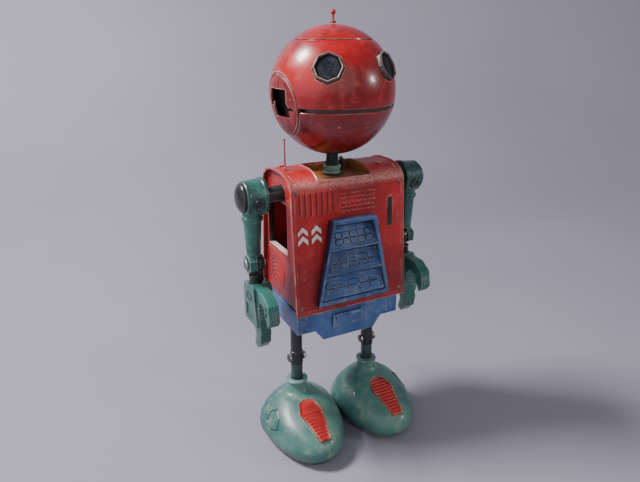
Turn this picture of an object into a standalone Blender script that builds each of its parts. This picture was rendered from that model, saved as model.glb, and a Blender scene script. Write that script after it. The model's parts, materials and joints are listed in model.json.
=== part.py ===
"""Tin wind-up walking robot, built as separate named pieces.

Frame: +Z up, the robot faces -Y, its left side is +X, origin on the ground below its centre.
All sizes below are millimetres; solid() turns them into metres.
"""
import math
from math import cos, pi, sin

import bmesh
import bpy
from mathutils import Matrix, Vector

# ---- driving dimensions, mm ------------------------------------------------------------------
MM = 0.001
GAP = 0.3                       # clearance between touching pieces
TIN = 0.9                       # sheet thickness

HEAD_R, HEAD_Z = 30.0, 186.0    # ball head
CAP_R = 18.6                    # crown cap radius
BAND_Z, BAND_H = 180.0, 1.6     # mouth band centre height and height
EYE_DIR = Vector((0.490, -0.768, 0.412))
EYE_R, LENS_R = 6.8, 5.5        # octagon vertex radii
EAR_R = 14.3
NECK_R = 3.15

TORSO_W = 31.2                  # half width
TORSO_TOP, TORSO_BOTTOM = 151.5, 82.4
TOP_DEPTH, BOTTOM_DEPTH = 17.2, 22.4
TORSO_Y = -1.2                  # the torso's middle plane, front to back
ARCH_H = 8.2                    # rise of the arched top
FLAT_TOP = 3.0                  # half width of the crest
PANEL_X = 28.9                  # middle of the recessed side panels
OPEN_X = (-15.7, 13.2)          # open top, across
OPEN_Y = (-16.2, 9.0)           # open top, front to back
PLATE_Z = 145.9                 # floor of the open top
FRAME_TOP, FRAME_BOTTOM = 129.0, 86.5
LEVER_AT = (8.0, 5.2)           # stop lever post
FRAME_TOP_W, FRAME_BOTTOM_W = 11.9, 20.6
FRAME_Y = -24.6                 # front of the chest frame at its top
FRAME_WALL = 1.7

SHOULDER_Z, ARM_X, ARM_Y = 140.1, 44.6, -3.0
ELBOW_Z = 106.5
DRUM_IN, DRUM_OUT = 38.4, 49.0  # shoulder drum faces
SHAFT_R = 3.8

PELVIS_W, PELVIS_D = 29.5, 18.5
PELVIS_SIDE_Z, PELVIS_LOW_Z = 70.4, 64.2
PELVIS_Y = -1.5                 # the pelvis's middle plane, front to back
PELVIS_WALL = 1.3
LEG_X, LEG_Y, LEG_R = 22.5, -2.6, 3.15
KNEE_Z, ANKLE_Z = 46.6, 32.5

GEAR_M = 1.2                    # gear module
GREAT_T, WHEEL_T, PINION_T = 24, 20, 8
WIND_Z = 116.0                  # winding arbor height
MID_Z = WIND_Z - GEAR_M * (GREAT_T + PINION_T) / 2
CRANK_Z = MID_Z - GEAR_M * (WHEEL_T + PINION_T) / 2
CRANK_E, CRANK_PIN_R = 3.2, 0.9
PLATE_Y = 6.5                   # middle of each motor plate
KEY_END = 41.0                  # rearmost point of the winding key

RED = (0.55, 0.035, 0.035)
GREEN = (0.045, 0.20, 0.165)
BLUE = (0.045, 0.10, 0.27)
BLACK = (0.012, 0.012, 0.014)
BROWN = (0.05, 0.022, 0.015)
GOLD = (0.30, 0.15, 0.06)
LENS = (0.01, 0.015, 0.03)
PALE = (0.55, 0.50, 0.42)
STEEL = (0.45, 0.45, 0.46)
BRASS = (0.60, 0.42, 0.16)

for old in list(bpy.data.objects):
    bpy.data.objects.remove(old, do_unlink=True)


# ---- helpers ---------------------------------------------------------------------------------
def paint(name, colour, roughness=0.45, metallic=0.0):
    material = bpy.data.materials.new(name)
    material.use_nodes = True
    shader = material.node_tree.nodes["Principled BSDF"]
    shader.inputs["Base Color"].default_value = (*colour, 1)
    shader.inputs["Roughness"].default_value = roughness
    shader.inputs["Metallic"].default_value = metallic
    return material


def pivot(name, x, y, z, parent=None):
    """An empty on a joint's axis."""
    empty = bpy.data.objects.new(name, None)
    empty.empty_display_size = 5 * MM
    bpy.context.collection.objects.link(empty)
    place(empty, Vector((x, y, z)), parent)
    return empty


def place(obj, world_mm, parent):
    obj["at"] = list(world_mm)
    obj.parent = parent
    base = Vector(parent["at"]) if parent else Vector((0, 0, 0))
    obj.location = (Vector(world_mm) - base) * MM


def solid(name, bm, colour, parent=None, roughness=0.45, metallic=0.0, cutter=False):
    """Make an object from a bmesh in world millimetres, with its origin on its parent's."""
    base = Vector(parent["at"]) if parent else Vector((0, 0, 0))
    bmesh.ops.remove_doubles(bm, verts=bm.verts, dist=1e-4)
    bmesh.ops.recalc_face_normals(bm, faces=bm.faces)
    bmesh.ops.transform(bm, matrix=Matrix.Scale(MM, 4) @ Matrix.Translation(-base), verts=bm.verts)
    mesh = bpy.data.meshes.new(name)
    bm.to_mesh(mesh)
    bm.free()
    mesh.shade_smooth()
    mesh.set_sharp_from_angle(angle=math.radians(35))
    obj = bpy.data.objects.new(name, mesh)
    bpy.context.collection.objects.link(obj)
    place(obj, base, parent)
    if cutter:
        obj.hide_render = True
        obj.display_type = "WIRE"
    else:
        mesh.materials.append(paint(name, colour, roughness, metallic))
    return obj


def boolean(obj, operation, *shapes, parent=None):
    """Cut with, or join to, the shapes given as bmeshes."""
    for shape in shapes:
        tool = solid(f"tool_{obj.name}_{len(obj.modifiers)}", shape, None, parent, cutter=True)
        change = obj.modifiers.new(operation.lower(), "BOOLEAN")
        change.operation = operation
        change.object = tool
    return obj


AXES = {"x": Matrix(((0, 0, 1), (1, 0, 0), (0, 1, 0))),     # local x, y, z -> world y, z, x
        "y": Matrix(((1, 0, 0), (0, 0, 1), (0, 1, 0))),     # local x, y, z -> world x, z, y
        "z": Matrix.Identity(3)}


def facing(direction):
    """A frame whose third axis points along direction and whose second leans upwards."""
    ahead = direction.normalized()
    across = ahead.cross(Vector((0, 0, 1))).normalized()
    return Matrix((across, across.cross(ahead), ahead)).transposed()


def turned(profile, at=(0, 0, 0), axis="z", steps=24, sides_up=0.0):
    """A closed solid turned from (radius, height) points round an axis through at."""
    bm = bmesh.new()
    frame = AXES[axis] if isinstance(axis, str) else axis
    rings = []
    for radius, height in profile:
        count = 1 if radius < 1e-6 else steps
        ring = []
        for i in range(count):
            angle = 2 * pi * i / steps + sides_up
            local = Vector((radius * cos(angle), radius * sin(angle), height))
            ring.append(bm.verts.new(frame @ local + Vector(at)))
        rings.append(ring)
    closed = profile[0][0] > 1e-6 or profile[-1][0] > 1e-6
    pairs = list(zip(rings, rings[1:])) + ([(rings[-1], rings[0])] if closed else [])
    for low, high in pairs:
        for i in range(steps):
            corners = [low[i % len(low)], low[(i + 1) % len(low)],
                       high[(i + 1) % len(high)], high[i % len(high)]]
            corners = list(dict.fromkeys(corners))
            if len(corners) > 2:
                bm.faces.new(corners)
    return bm


def rod(radius, start, end, at=(0, 0, 0), axis="z", steps=16, sides_up=0.0):
    return turned([(0, start), (radius, start), (radius, end), (0, end)], at, axis, steps, sides_up)


def ring(outer, inner, start, end, at=(0, 0, 0), axis="z", steps=24, sides_up=0.0):
    profile = [(inner, start), (outer, start), (outer, end), (inner, end)]
    return turned(profile, at, axis, steps, sides_up)


def block(low, high):
    bm = bmesh.new()
    middle = (Vector(low) + Vector(high)) / 2
    size = Vector(high) - Vector(low)
    bmesh.ops.create_cube(bm, size=1, matrix=Matrix.Translation(middle) @ Matrix.Diagonal((*size, 1)))
    return bm


def prism(outline, start, end, axis="x"):
    """Extrude an outline of (a, b) points; axis x takes (y, z), y takes (x, z), z takes (x, y)."""
    bm = bmesh.new()
    frame = AXES[axis]
    low = [bm.verts.new(frame @ Vector((a, b, start))) for a, b in outline]
    high = [bm.verts.new(frame @ Vector((a, b, end))) for a, b in outline]
    bm.faces.new(low)
    bm.faces.new(high)
    for i in range(len(outline)):
        j = (i + 1) % len(outline)
        bm.faces.new((low[i], low[j], high[j], high[i]))
    return bm


def slab(low_outline, high_outline):
    """A solid between two outlines of equally many world points."""
    bm = bmesh.new()
    low = [bm.verts.new(p) for p in low_outline]
    high = [bm.verts.new(p) for p in high_outline]
    bm.faces.new(low)
    bm.faces.new(high)
    for i in range(len(low)):
        j = (i + 1) % len(low)
        bm.faces.new((low[i], low[j], high[j], high[i]))
    return bm


def arc(radius, start, end, steps, centre=(0.0, 0.0)):
    """Points on an arc; angles in degrees from the first axis."""
    angles = [math.radians(start + (end - start) * i / steps) for i in range(steps + 1)]
    return [(centre[0] + radius * cos(a), centre[1] + radius * sin(a)) for a in angles]


def bowl(outer, inner, high, low, steps, inner_steps=3):
    """Profile of a spherical shell between two heights above the sphere's centre."""
    def side(radius, top, bottom, count):
        start = math.degrees(math.asin(max(-1, min(1, top / radius))))
        end = math.degrees(math.asin(max(-1, min(1, bottom / radius))))
        return [(max(r, 0), h) for r, h in arc(radius, start, end, count)]
    return side(outer, high, low, steps) + side(inner, high, low, inner_steps)[::-1]


# ---- head ------------------------------------------------------------------------------------
def head():
    neck_axis = pivot("head_turn_axis", 0, 0, HEAD_Z)
    centre = (0, 0, HEAD_Z)
    inner = HEAD_R - TIN
    cap_h = math.sqrt(HEAD_R ** 2 - CAP_R ** 2)
    band_top = BAND_Z + BAND_H / 2 - HEAD_Z
    band_low = BAND_Z - BAND_H / 2 - HEAD_Z

    def ear_axis(side):
        return facing(Vector((side * 0.985, -0.02, -0.174)))

    def ear_cut(side):
        return rod(EAR_R + GAP, 22, 31, centre, ear_axis(side), 24)

    def eye_axis(side):
        return facing(Vector((EYE_DIR.x * side, EYE_DIR.y, EYE_DIR.z)))

    upper = solid("head_upper", turned(bowl(HEAD_R, inner, cap_h - GAP, band_top, 5), centre, steps=28),
                  RED, neck_axis)
    lower_bowl = bowl(HEAD_R - 0.3, inner - 0.3, band_low, -29.5, 5)
    lower = solid("head_lower", turned(lower_bowl, centre, steps=28), RED, neck_axis)
    neck_hole = rod(NECK_R + 0.35, -31, -25, centre)
    boolean(lower, "DIFFERENCE", neck_hole, ear_cut(1), ear_cut(-1), parent=neck_axis)
    washer = ring(HEAD_R - 1.5, HEAD_R - 7.2, band_low + GAP, band_top - GAP, centre, steps=28)
    band = solid("mouth_band", washer, BROWN, neck_axis)
    for side in (-1, 1):
        flat = rod(25, 24.8, 40, centre, ear_axis(side), 20)
        boolean(band, "DIFFERENCE", flat, parent=neck_axis)
    boolean(upper, "DIFFERENCE", ear_cut(1), ear_cut(-1), parent=neck_axis)
    cap = [(0, HEAD_R)] + arc(HEAD_R, 82, math.degrees(math.asin(cap_h / HEAD_R)), 3)
    cap += arc(inner, math.degrees(math.asin(cap_h / inner)), 72, 1) + [(0, inner)]
    solid("head_cap", turned(cap, centre, steps=28), RED, neck_axis)
    stalk = [(0, 30 + GAP), (1.35, 30 + GAP), (1.35, 31.4), (0.45, 31.6), (0.45, 33.9)]
    stalk += arc(1.2, -68, 60, 4, (0, 35.0)) + [(0, 36.2)]
    solid("head_antenna", turned(stalk, centre, steps=12), RED, neck_axis)

    for side, name in ((-1, "right"), (1, "left")):
        rim = math.degrees(math.acos(EAR_R / HEAD_R))
        ear = [(0, HEAD_R)] + arc(HEAD_R, 78, rim, 2) + arc(inner, rim, 74, 1) + [(0, inner)]
        panel = solid(f"ear_{name}", turned(ear, centre, ear_axis(side), 24), RED, neck_axis)
        low, high = sorted((22 * side, 31 * side))
        boolean(panel, "DIFFERENCE", block((low, -9.0, 176.2), (high, 5.5, 188.6)), parent=neck_axis)
        look = eye_axis(side)
        boolean(upper, "DIFFERENCE", rod(EYE_R + GAP, 24, 33, centre, look, 8), parent=neck_axis)
        seat = LENS_R + GAP
        bezel = [(seat, 27.6), (EYE_R, 27.6), (EYE_R, 31.0), (seat + 0.2, 31.4), (seat, 31.0)]
        solid(f"eye_bezel_{name}", turned(bezel, centre, look, 8), PALE, neck_axis)
        lens = [(0, 28.6), (LENS_R, 28.6), (LENS_R, 30.2), (0, 30.6)]
        solid(f"eye_lens_{name}", turned(lens, centre, look, 8), LENS, neck_axis, roughness=0.1)


# ---- torso -----------------------------------------------------------------------------------
def depth_at(z):
    """Half depth of the tapering torso at height z."""
    spring = TORSO_TOP - ARCH_H
    return TOP_DEPTH + (BOTTOM_DEPTH - TOP_DEPTH) * max(0, spring - z) / (spring - TORSO_BOTTOM)


def front_at(z):
    return TORSO_Y - depth_at(z)


def torso_outline(inset, bottom):
    """Arched outline in (y, z), inset all round except at its flat bottom."""
    spring = TORSO_TOP - ARCH_H
    half = [(depth_at(bottom) - inset, bottom)]
    for angle in (0, 18, 36, 54, 72, 90):
        a = math.radians(angle)
        reach = FLAT_TOP + (TOP_DEPTH - FLAT_TOP - inset) * cos(a)
        half.append((reach, spring + (ARCH_H - inset) * sin(a)))
    return [(TORSO_Y + y, z) for y, z in half] + [(TORSO_Y - y, z) for y, z in half[::-1]]


def frame_half(z):
    """Half width of the chest frame at height z."""
    rise = (z - FRAME_BOTTOM) / (FRAME_TOP - FRAME_BOTTOM)
    return FRAME_BOTTOM_W + (FRAME_TOP_W - FRAME_BOTTOM_W) * rise


def frame_outline(inset, y_of):
    """The chest frame's four corners, inset all round, on the surface y = y_of(z)."""
    low, high = FRAME_BOTTOM + inset, FRAME_TOP - inset
    corners = [(-frame_half(low) + inset, low), (frame_half(low) - inset, low),
               (frame_half(high) - inset, high), (-frame_half(high) + inset, high)]
    return [Vector((x, y_of(z), z)) for x, z in corners]


def torso():
    outer = torso_outline(0, TORSO_BOTTOM)
    inner = torso_outline(TIN, TORSO_BOTTOM)
    shell = solid("torso_shell", prism(outer + inner[::-1], -TORSO_W, TORSO_W), RED)
    opening = block((OPEN_X[0], OPEN_Y[0], 143.8), (OPEN_X[1], OPEN_Y[1], 160))
    frame_slot = slab(frame_outline(1.6, lambda z: -30), frame_outline(1.6, lambda z: -12))
    key_hole = rod(3.0, 15, 25, (0, 0, WIND_Z), "y")
    boolean(shell, "DIFFERENCE", opening, frame_slot, key_hole)

    for side, name in ((-1, "right"), (1, "left")):
        x = side * PANEL_X
        face = x + side * TIN / 2
        panel = solid(f"side_panel_{name}",
                      prism(torso_outline(TIN + GAP, TORSO_BOTTOM + GAP), x - TIN / 2, x + TIN / 2), RED)
        slot = block((x - 3, -9.2, 109.5), (x + 3, 14.2, 135.5))
        shaft_hole = rod(SHAFT_R + 0.4, x - 3, x + 3, (0, ARM_Y, SHOULDER_Z), "x")
        boolean(panel, "DIFFERENCE", slot, shaft_hole)
        low, high = sorted((face - side * 0.3, face + side * 1.2))
        boolean(panel, "UNION", rod(9.3, low, high, (0, 4.2, 96.3), "x", 24))

    plate_z = PLATE_Z
    plate = solid("top_plate", block((-20, OPEN_Y[0], plate_z - TIN), (18, 12.5, plate_z)), GOLD)
    boolean(plate, "DIFFERENCE", rod(NECK_R + GAP, 140, 155), rod(1.2, 140, 155, (*LEVER_AT, 0)))
    neck = [(0, 140.5), (NECK_R, 140.5), (NECK_R, 158.4), (5.2, 158.9), (5.2, 160), (0, 160)]
    solid("neck_tube", turned(neck, steps=20), BLACK, roughness=0.35, metallic=0.6)
    solid("neck_collar", ring(4.5, NECK_R + GAP, plate_z + GAP, 150.4, steps=20), GREEN)
    solid("whip_antenna", rod(0.5, TORSO_TOP + GAP, 166, (-27, -3, 0), steps=8), BLACK, metallic=0.6)

    lever_axis = pivot("stop_lever_axis", *LEVER_AT, plate_z)
    under = plate_z - TIN - GAP
    post = [(0, under - 2), (2.0, under - 2), (2.0, under), (0.9, under), (0.9, 152.6), (0, 152.6)]
    lever = solid("stop_lever", turned(post, (*LEVER_AT, 0), steps=12), BLACK, lever_axis, metallic=0.6)
    x, y = LEVER_AT
    tab = block((x - 1.2, y - 5.5, 151.4), (x + 0.9, y + 0.9, 153.4))
    boolean(lever, "UNION", tab, parent=lever_axis)


def chest():
    """Blue trapezoid frame standing off the chest, with three sloped louvres in it."""
    back = frame_outline(0, lambda z: front_at(z) - GAP)
    front = frame_outline(0, lambda z: FRAME_Y - (FRAME_TOP - z) * 0.03)
    frame = solid("chest_frame", slab(back, front), BLUE)
    inside = slab(frame_outline(FRAME_WALL, lambda z: -10), frame_outline(FRAME_WALL, lambda z: -30))
    boolean(frame, "DIFFERENCE", inside)
    for i in range(3):
        step = (FRAME_TOP - FRAME_BOTTOM - 4.6) / 3
        bottom = FRAME_BOTTOM + 2.3 + (2 - i) * step + 0.4
        top = bottom + step - 1.0
        w_low, w_high = (frame_half(z) - FRAME_WALL - GAP for z in (bottom, top))
        y_low, y_high = -25.2, front_at(top) - 0.4
        front = [Vector((-w_low, y_low, bottom)), Vector((w_low, y_low, bottom)),
                 Vector((w_high, y_high, top)), Vector((-w_high, y_high, top))]
        rear = [p + Vector((0, 0.8, 0)) for p in front]
        solid(f"louver_{i + 1}", slab(rear, front), BLUE)


def pelvis():
    def outline(inset):
        low, side = PELVIS_LOW_Z + inset, PELVIS_SIDE_Z + inset
        return [(-PELVIS_W + inset, side), (-19.5 + inset, side), (-15 + inset, low), (15 - inset, low),
                (19.5 - inset, side), (PELVIS_W - inset, side)]

    top = TORSO_BOTTOM - GAP
    hollow = outline(PELVIS_WALL)
    front, back = PELVIS_Y - PELVIS_D, PELVIS_Y + PELVIS_D
    box = prism([(-PELVIS_W, top)] + outline(0) + [(PELVIS_W, top)], front, back, "y")
    body = solid("pelvis_housing", box, BLUE)
    inner = PELVIS_W - PELVIS_WALL
    cavity = prism([(-inner, top + 3)] + hollow + [(inner, top + 3)],
                   front + PELVIS_WALL, back - PELVIS_WALL, "y")
    boolean(body, "DIFFERENCE", cavity)
    for side in (-1, 1):
        hole = rod(LEG_R + 0.35, 60, 75, (side * LEG_X, LEG_Y, 0))
        collar = rod(5.0, PELVIS_SIDE_Z - 2.0, PELVIS_SIDE_Z + 0.6, (side * LEG_X, LEG_Y, 0), steps=20)
        boolean(body, "UNION", collar)
        boolean(body, "DIFFERENCE", hole)
    solid("pelvis_panel", block((-9.8, front - 1.3, 70.6), (7.4, front - GAP, 77.6)), BLUE)


# ---- clockwork -------------------------------------------------------------------------------
def gear(teeth, start, end, z, phase):
    """A blank spur gear round Y with trapezoid teeth and running backlash."""
    pitch = GEAR_M * teeth / 2
    root, tip = pitch - 1.15 * GEAR_M, pitch + 0.85 * GEAR_M
    outline = []
    for i in range(teeth):
        for radius, share in ((root, -0.36), (tip, -0.12), (tip, 0.12), (root, 0.36)):
            angle = 2 * pi * (i + share) / teeth + phase
            outline.append((radius * cos(angle), z + radius * sin(angle)))
    return prism(outline, start, end, "y")


def spiral(inner, outer, turns, thickness, start, end, at, steps=14):
    """A flat coiled strip round Y."""
    bm = bmesh.new()
    rows = []
    total = int(turns * steps)
    for i in range(total + 1):
        t = i / total
        angle = 2 * pi * turns * t
        radius = inner + (outer - inner) * t
        row = []
        far = radius + thickness
        for r, y in ((radius, start), (far, start), (far, end), (radius, end)):
            row.append(bm.verts.new((at[0] + r * cos(angle), y, at[1] + r * sin(angle))))
        rows.append(row)
    for a, b in zip(rows, rows[1:]):
        for i in range(4):
            j = (i + 1) % 4
            bm.faces.new((a[i], a[j], b[j], b[i]))
    bm.faces.new(rows[0])
    bm.faces.new(rows[-1])
    return bm


def clockwork():
    wind = pivot("winding_axis", 0, 0, WIND_Z)
    great = pivot("great_wheel_axis", 0, 0, WIND_Z)
    middle = pivot("intermediate_axis", 0, 0, MID_Z)
    crank = pivot("crank_axis", 0, 0, CRANK_Z)
    bearings = ((WIND_Z, 1.6), (MID_Z, 1.1), (CRANK_Z, 1.3))
    for name, y in (("front", -PLATE_Y), ("back", PLATE_Y)):
        plate = solid(f"motor_plate_{name}", block((-17, y - 0.5, 73.5), (17, y + 0.5, 133)), STEEL,
                      roughness=0.4, metallic=0.9)
        for z, radius in bearings:
            boolean(plate, "DIFFERENCE", rod(radius + GAP, y - 2, y + 2, (0, 0, z), "y", 12))
        if name == "back":
            for x in (-15.5, 15.5):
                for z in (76, 131):
                    boolean(plate, "UNION", block((x - 1.2, -PLATE_Y + 0.5 + GAP, z - 1.2),
                                                  (x + 1.2, PLATE_Y, z + 1.2)))

    brass = {"roughness": 0.35, "metallic": 1.0}
    top = pi / 2
    between = top + pi / PINION_T
    wheel = solid("great_wheel", gear(GREAT_T, -5.3, -4.3, WIND_Z, top), BRASS, great, **brass)
    boolean(wheel, "DIFFERENCE", rod(1.5 + GAP, -8, 0, (0, 0, WIND_Z), "y", 12), parent=great)
    mid = solid("intermediate_pinion", gear(PINION_T, -5.6, -4.0, MID_Z, between), STEEL, middle, **brass)
    boolean(mid, "UNION", rod(1.1, -7.6, 7.6, (0, 0, MID_Z), "y", 12), parent=middle)
    wheel = solid("intermediate_wheel", gear(WHEEL_T, 3.7, 4.7, MID_Z, top), BRASS, middle, **brass)
    boolean(wheel, "DIFFERENCE", rod(1.1 + GAP, 0, 8, (0, 0, MID_Z), "y", 12), parent=middle)
    arbor = solid("crank_arbor", gear(PINION_T, 3.4, 5.0, CRANK_Z, between), STEEL, crank, **brass)
    boolean(arbor, "UNION", rod(1.3, -9.6, 9.6, (0, 0, CRANK_Z), "y", 12), parent=crank)
    for side in (-1, 1):
        disc = rod(5.2, *sorted((side * 7.8, side * 9.4)), (0, 0, CRANK_Z), "y", 20)
        pin = rod(CRANK_PIN_R, *sorted((side * 9.0, side * 12.8)), (-side * CRANK_E, 0, CRANK_Z), "y", 12)
        boolean(arbor, "UNION", disc, pin, parent=crank)

    arbor = [(0, -7.6), (1.5, -7.6), (1.5, 24.6), (0, 24.6)]
    solid("winding_arbor", turned(arbor, (0, 0, WIND_Z), "y", 12), STEEL, wind, **brass)
    teeth = 12
    outline = []
    for i in range(teeth):
        outline.append((5.0, 2 * pi * i / teeth))
        outline.append((4.0, 2 * pi * (i + 0.12) / teeth))
    ratchet_rim = [(r * cos(a), WIND_Z + r * sin(a)) for r, a in outline]
    ratchet = solid("ratchet_wheel", prism(ratchet_rim, -3.7, -2.9, "y"), STEEL, wind, **brass)
    boolean(ratchet, "DIFFERENCE", rod(1.5 + GAP, -6, 0, (0, 0, WIND_Z), "y", 12), parent=wind)
    click_at = (9.0, WIND_Z + 3.5)
    click_axis = pivot("click_axis", click_at[0], 0, click_at[1])
    tip = (3.9, WIND_Z + 3.9)
    x, z = click_at
    finger = [(x - 0.6, z + 1.6), tip, (tip[0] + 0.2, tip[1] - 0.5), (x, z - 1.6), (x + 1.6, z)]
    solid("click", prism(finger, -3.9, -2.9, "y"), STEEL, click_axis, **brass)
    solid("mainspring", spiral(3.4, 12.2, 3.5, 0.5, -2.3, 3.1, (0, WIND_Z)), STEEL, None, **brass)

    socket = 1.5 + GAP
    hub = [(socket, 24.0), (3.4, 24.0), (3.4, 29.5), (2.6, 30.5), (0, 30.5), (0, 25.2), (socket, 25.2)]
    key = solid("winding_key", turned(hub, (0, 0, WIND_Z), "y", 16), STEEL, wind, **brass)
    for side in (-1, 1):
        bow = ring(5.4, 2.9, -0.9, 0.9, (side * 6.1, KEY_END - 5.4, WIND_Z), "z", 14)
        boolean(key, "UNION", bow, parent=wind)
    web = block((-1.6, 29.0, WIND_Z - 0.9), (1.6, KEY_END - 2.2, WIND_Z + 0.9))
    boolean(key, "UNION", web, parent=wind)


# ---- arms ------------------------------------------------------------------------------------
HAND_OUTLINE = [(3.5, 94.5), (-8.0, 96.2), (-18.5, 96.2), (-24.6, 92.4), (-26.2, 84.5), (-23.8, 81.0),
                (-20.6, 84.6), (-19.8, 88.6), (-15.5, 90.6), (-12.0, 88.0), (-12.4, 78.5), (-14.2, 73.0),
                (-13.2, 67.0), (-8.6, 62.2), (-5.6, 63.8), (-7.2, 69.4), (-5.2, 74.6), (3.5, 75.2)]


def arm(side, name):
    def span(a, b):
        return sorted((side * a, side * b))

    shoulder = pivot(f"shoulder_axis_{name}", side * ARM_X, ARM_Y, SHOULDER_Z)
    elbow = pivot(f"elbow_axis_{name}", side * ARM_X, ARM_Y, ELBOW_Z, shoulder)
    axis = AXES["x"] @ Matrix.Diagonal((1, 1, side))
    at = (0, ARM_Y, SHOULDER_Z)
    shaft = [(0, 22.4), (5.6, 22.4), (5.6, 24.4), (SHAFT_R, 24.4), (SHAFT_R, 44), (0, 44)]
    solid(f"shoulder_shaft_{name}", turned(shaft, at, axis, 20), BLACK, shoulder, metallic=0.5)
    drum = [(SHAFT_R + GAP, DRUM_IN), (9.0, DRUM_IN), (9.0, DRUM_IN + 2), (7.9, DRUM_OUT), (0, DRUM_OUT),
            (0, 44 + GAP), (SHAFT_R + GAP, 44 + GAP)]
    upper = solid(f"upper_arm_{name}", turned(drum, at, axis, 24), GREEN, shoulder)
    limb = [(0, ELBOW_Z + 1), (3.2, ELBOW_Z + 1), (4.6, SHOULDER_Z - 6), (0, SHOULDER_Z - 6)]
    knuckle = rod(4.9, *span(44.4, 48.2), (0, ARM_Y, ELBOW_Z), "x", 6, pi / 6)
    boolean(upper, "UNION", turned(limb, (side * ARM_X, ARM_Y, 0), steps=16), knuckle, parent=shoulder)
    boolean(upper, "DIFFERENCE", rod(5.6, *span(38, 44.2), (0, ARM_Y, ELBOW_Z), "x", 20),
            rod(1.4 + GAP, *span(40, 55), (0, ARM_Y, ELBOW_Z), "x", 12), parent=shoulder)
    dome = [(0, DRUM_OUT + GAP), (7.0, DRUM_OUT + GAP), (6.6, 50.6), (4.6, 51.8), (0, 52.2)]
    solid(f"shoulder_cap_{name}", turned(dome, at, axis, 20), BLACK, shoulder, metallic=0.5)
    pin = [(0, 39.4), (2.4, 39.4), (2.4, 40.2), (1.4, 40.2), (1.4, 48.5), (2.6, 48.5), (2.6, 49.6),
           (0, 49.6)]
    solid(f"elbow_pin_{name}", turned(pin, (0, ARM_Y, ELBOW_Z), axis, 12), STEEL, shoulder, metallic=1.0)

    eye = ring(4.4, 1.4 + GAP, *span(40.5, 43.9), (0, ARM_Y, ELBOW_Z), "x", 20)
    fore = solid(f"forearm_{name}", eye, BLACK, elbow, metallic=0.4)
    wrist_r, wrist_x = 3.3, side * 44.3
    tube = [(0, 88), (wrist_r, 88), (wrist_r, ELBOW_Z - 5.9), (wrist_r - 0.6, ELBOW_Z - 5.4),
            (0, ELBOW_Z - 5.4)]
    link_x = span(40.7, 43.7)
    link = block((link_x[0], ARM_Y - 2.2, ELBOW_Z - 9), (link_x[1], ARM_Y + 2.2, ELBOW_Z - 2.5))
    boolean(fore, "UNION", turned(tube, (wrist_x, ARM_Y, 0), steps=16), link, parent=elbow)
    hand = solid(f"hand_{name}", prism(HAND_OUTLINE, *span(41.2, 46.8)), GREEN, elbow)
    gauntlet = prism([(4.2, 75.0), (4.2, 93.0), (2.6, 95.4), (-8.2, 96.9), (-9.6, 95.4), (-12.8, 75.6)],
                     *span(38.2, 48.2))
    boolean(hand, "UNION", gauntlet, parent=elbow)
    boolean(hand, "DIFFERENCE", rod(wrist_r + GAP, 88 - GAP, 110, (wrist_x, ARM_Y, 0)), parent=elbow)


# ---- legs ------------------------------------------------------------------------------------
FOOT = [  # height, half width, reach forward, reach back
    (1.6, 18.6, 33.4, 13.6), (4.6, 21.0, 37.2, 15.8), (10.0, 22.0, 38.4, 16.9), (16.0, 20.0, 34.0, 15.4),
    (20.0, 16.8, 25.8, 13.4), (24.0, 11.4, 14.2, 10.0), (26.6, 6.4, 6.8, 6.2), (31.6, 4.6, 4.6, 4.6)]


def foot_ring(x, level, inset, steps=20):
    z, half, front, back = level
    points = []
    for i in range(steps):
        a = 2 * pi * i / steps
        reach = front if sin(a) > 0 else back
        points.append(Vector((x + (half - inset) * cos(a), LEG_Y - (reach - inset) * sin(a), z)))
    return points


def loft(loops):
    bm = bmesh.new()
    rows = [[bm.verts.new(p) for p in loop] for loop in loops]
    for a, b in zip(rows, rows[1:] + rows[:1]):
        for i in range(len(a)):
            j = (i + 1) % len(a)
            bm.faces.new((a[i], a[j], b[j], b[i]))
    return bm


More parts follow.
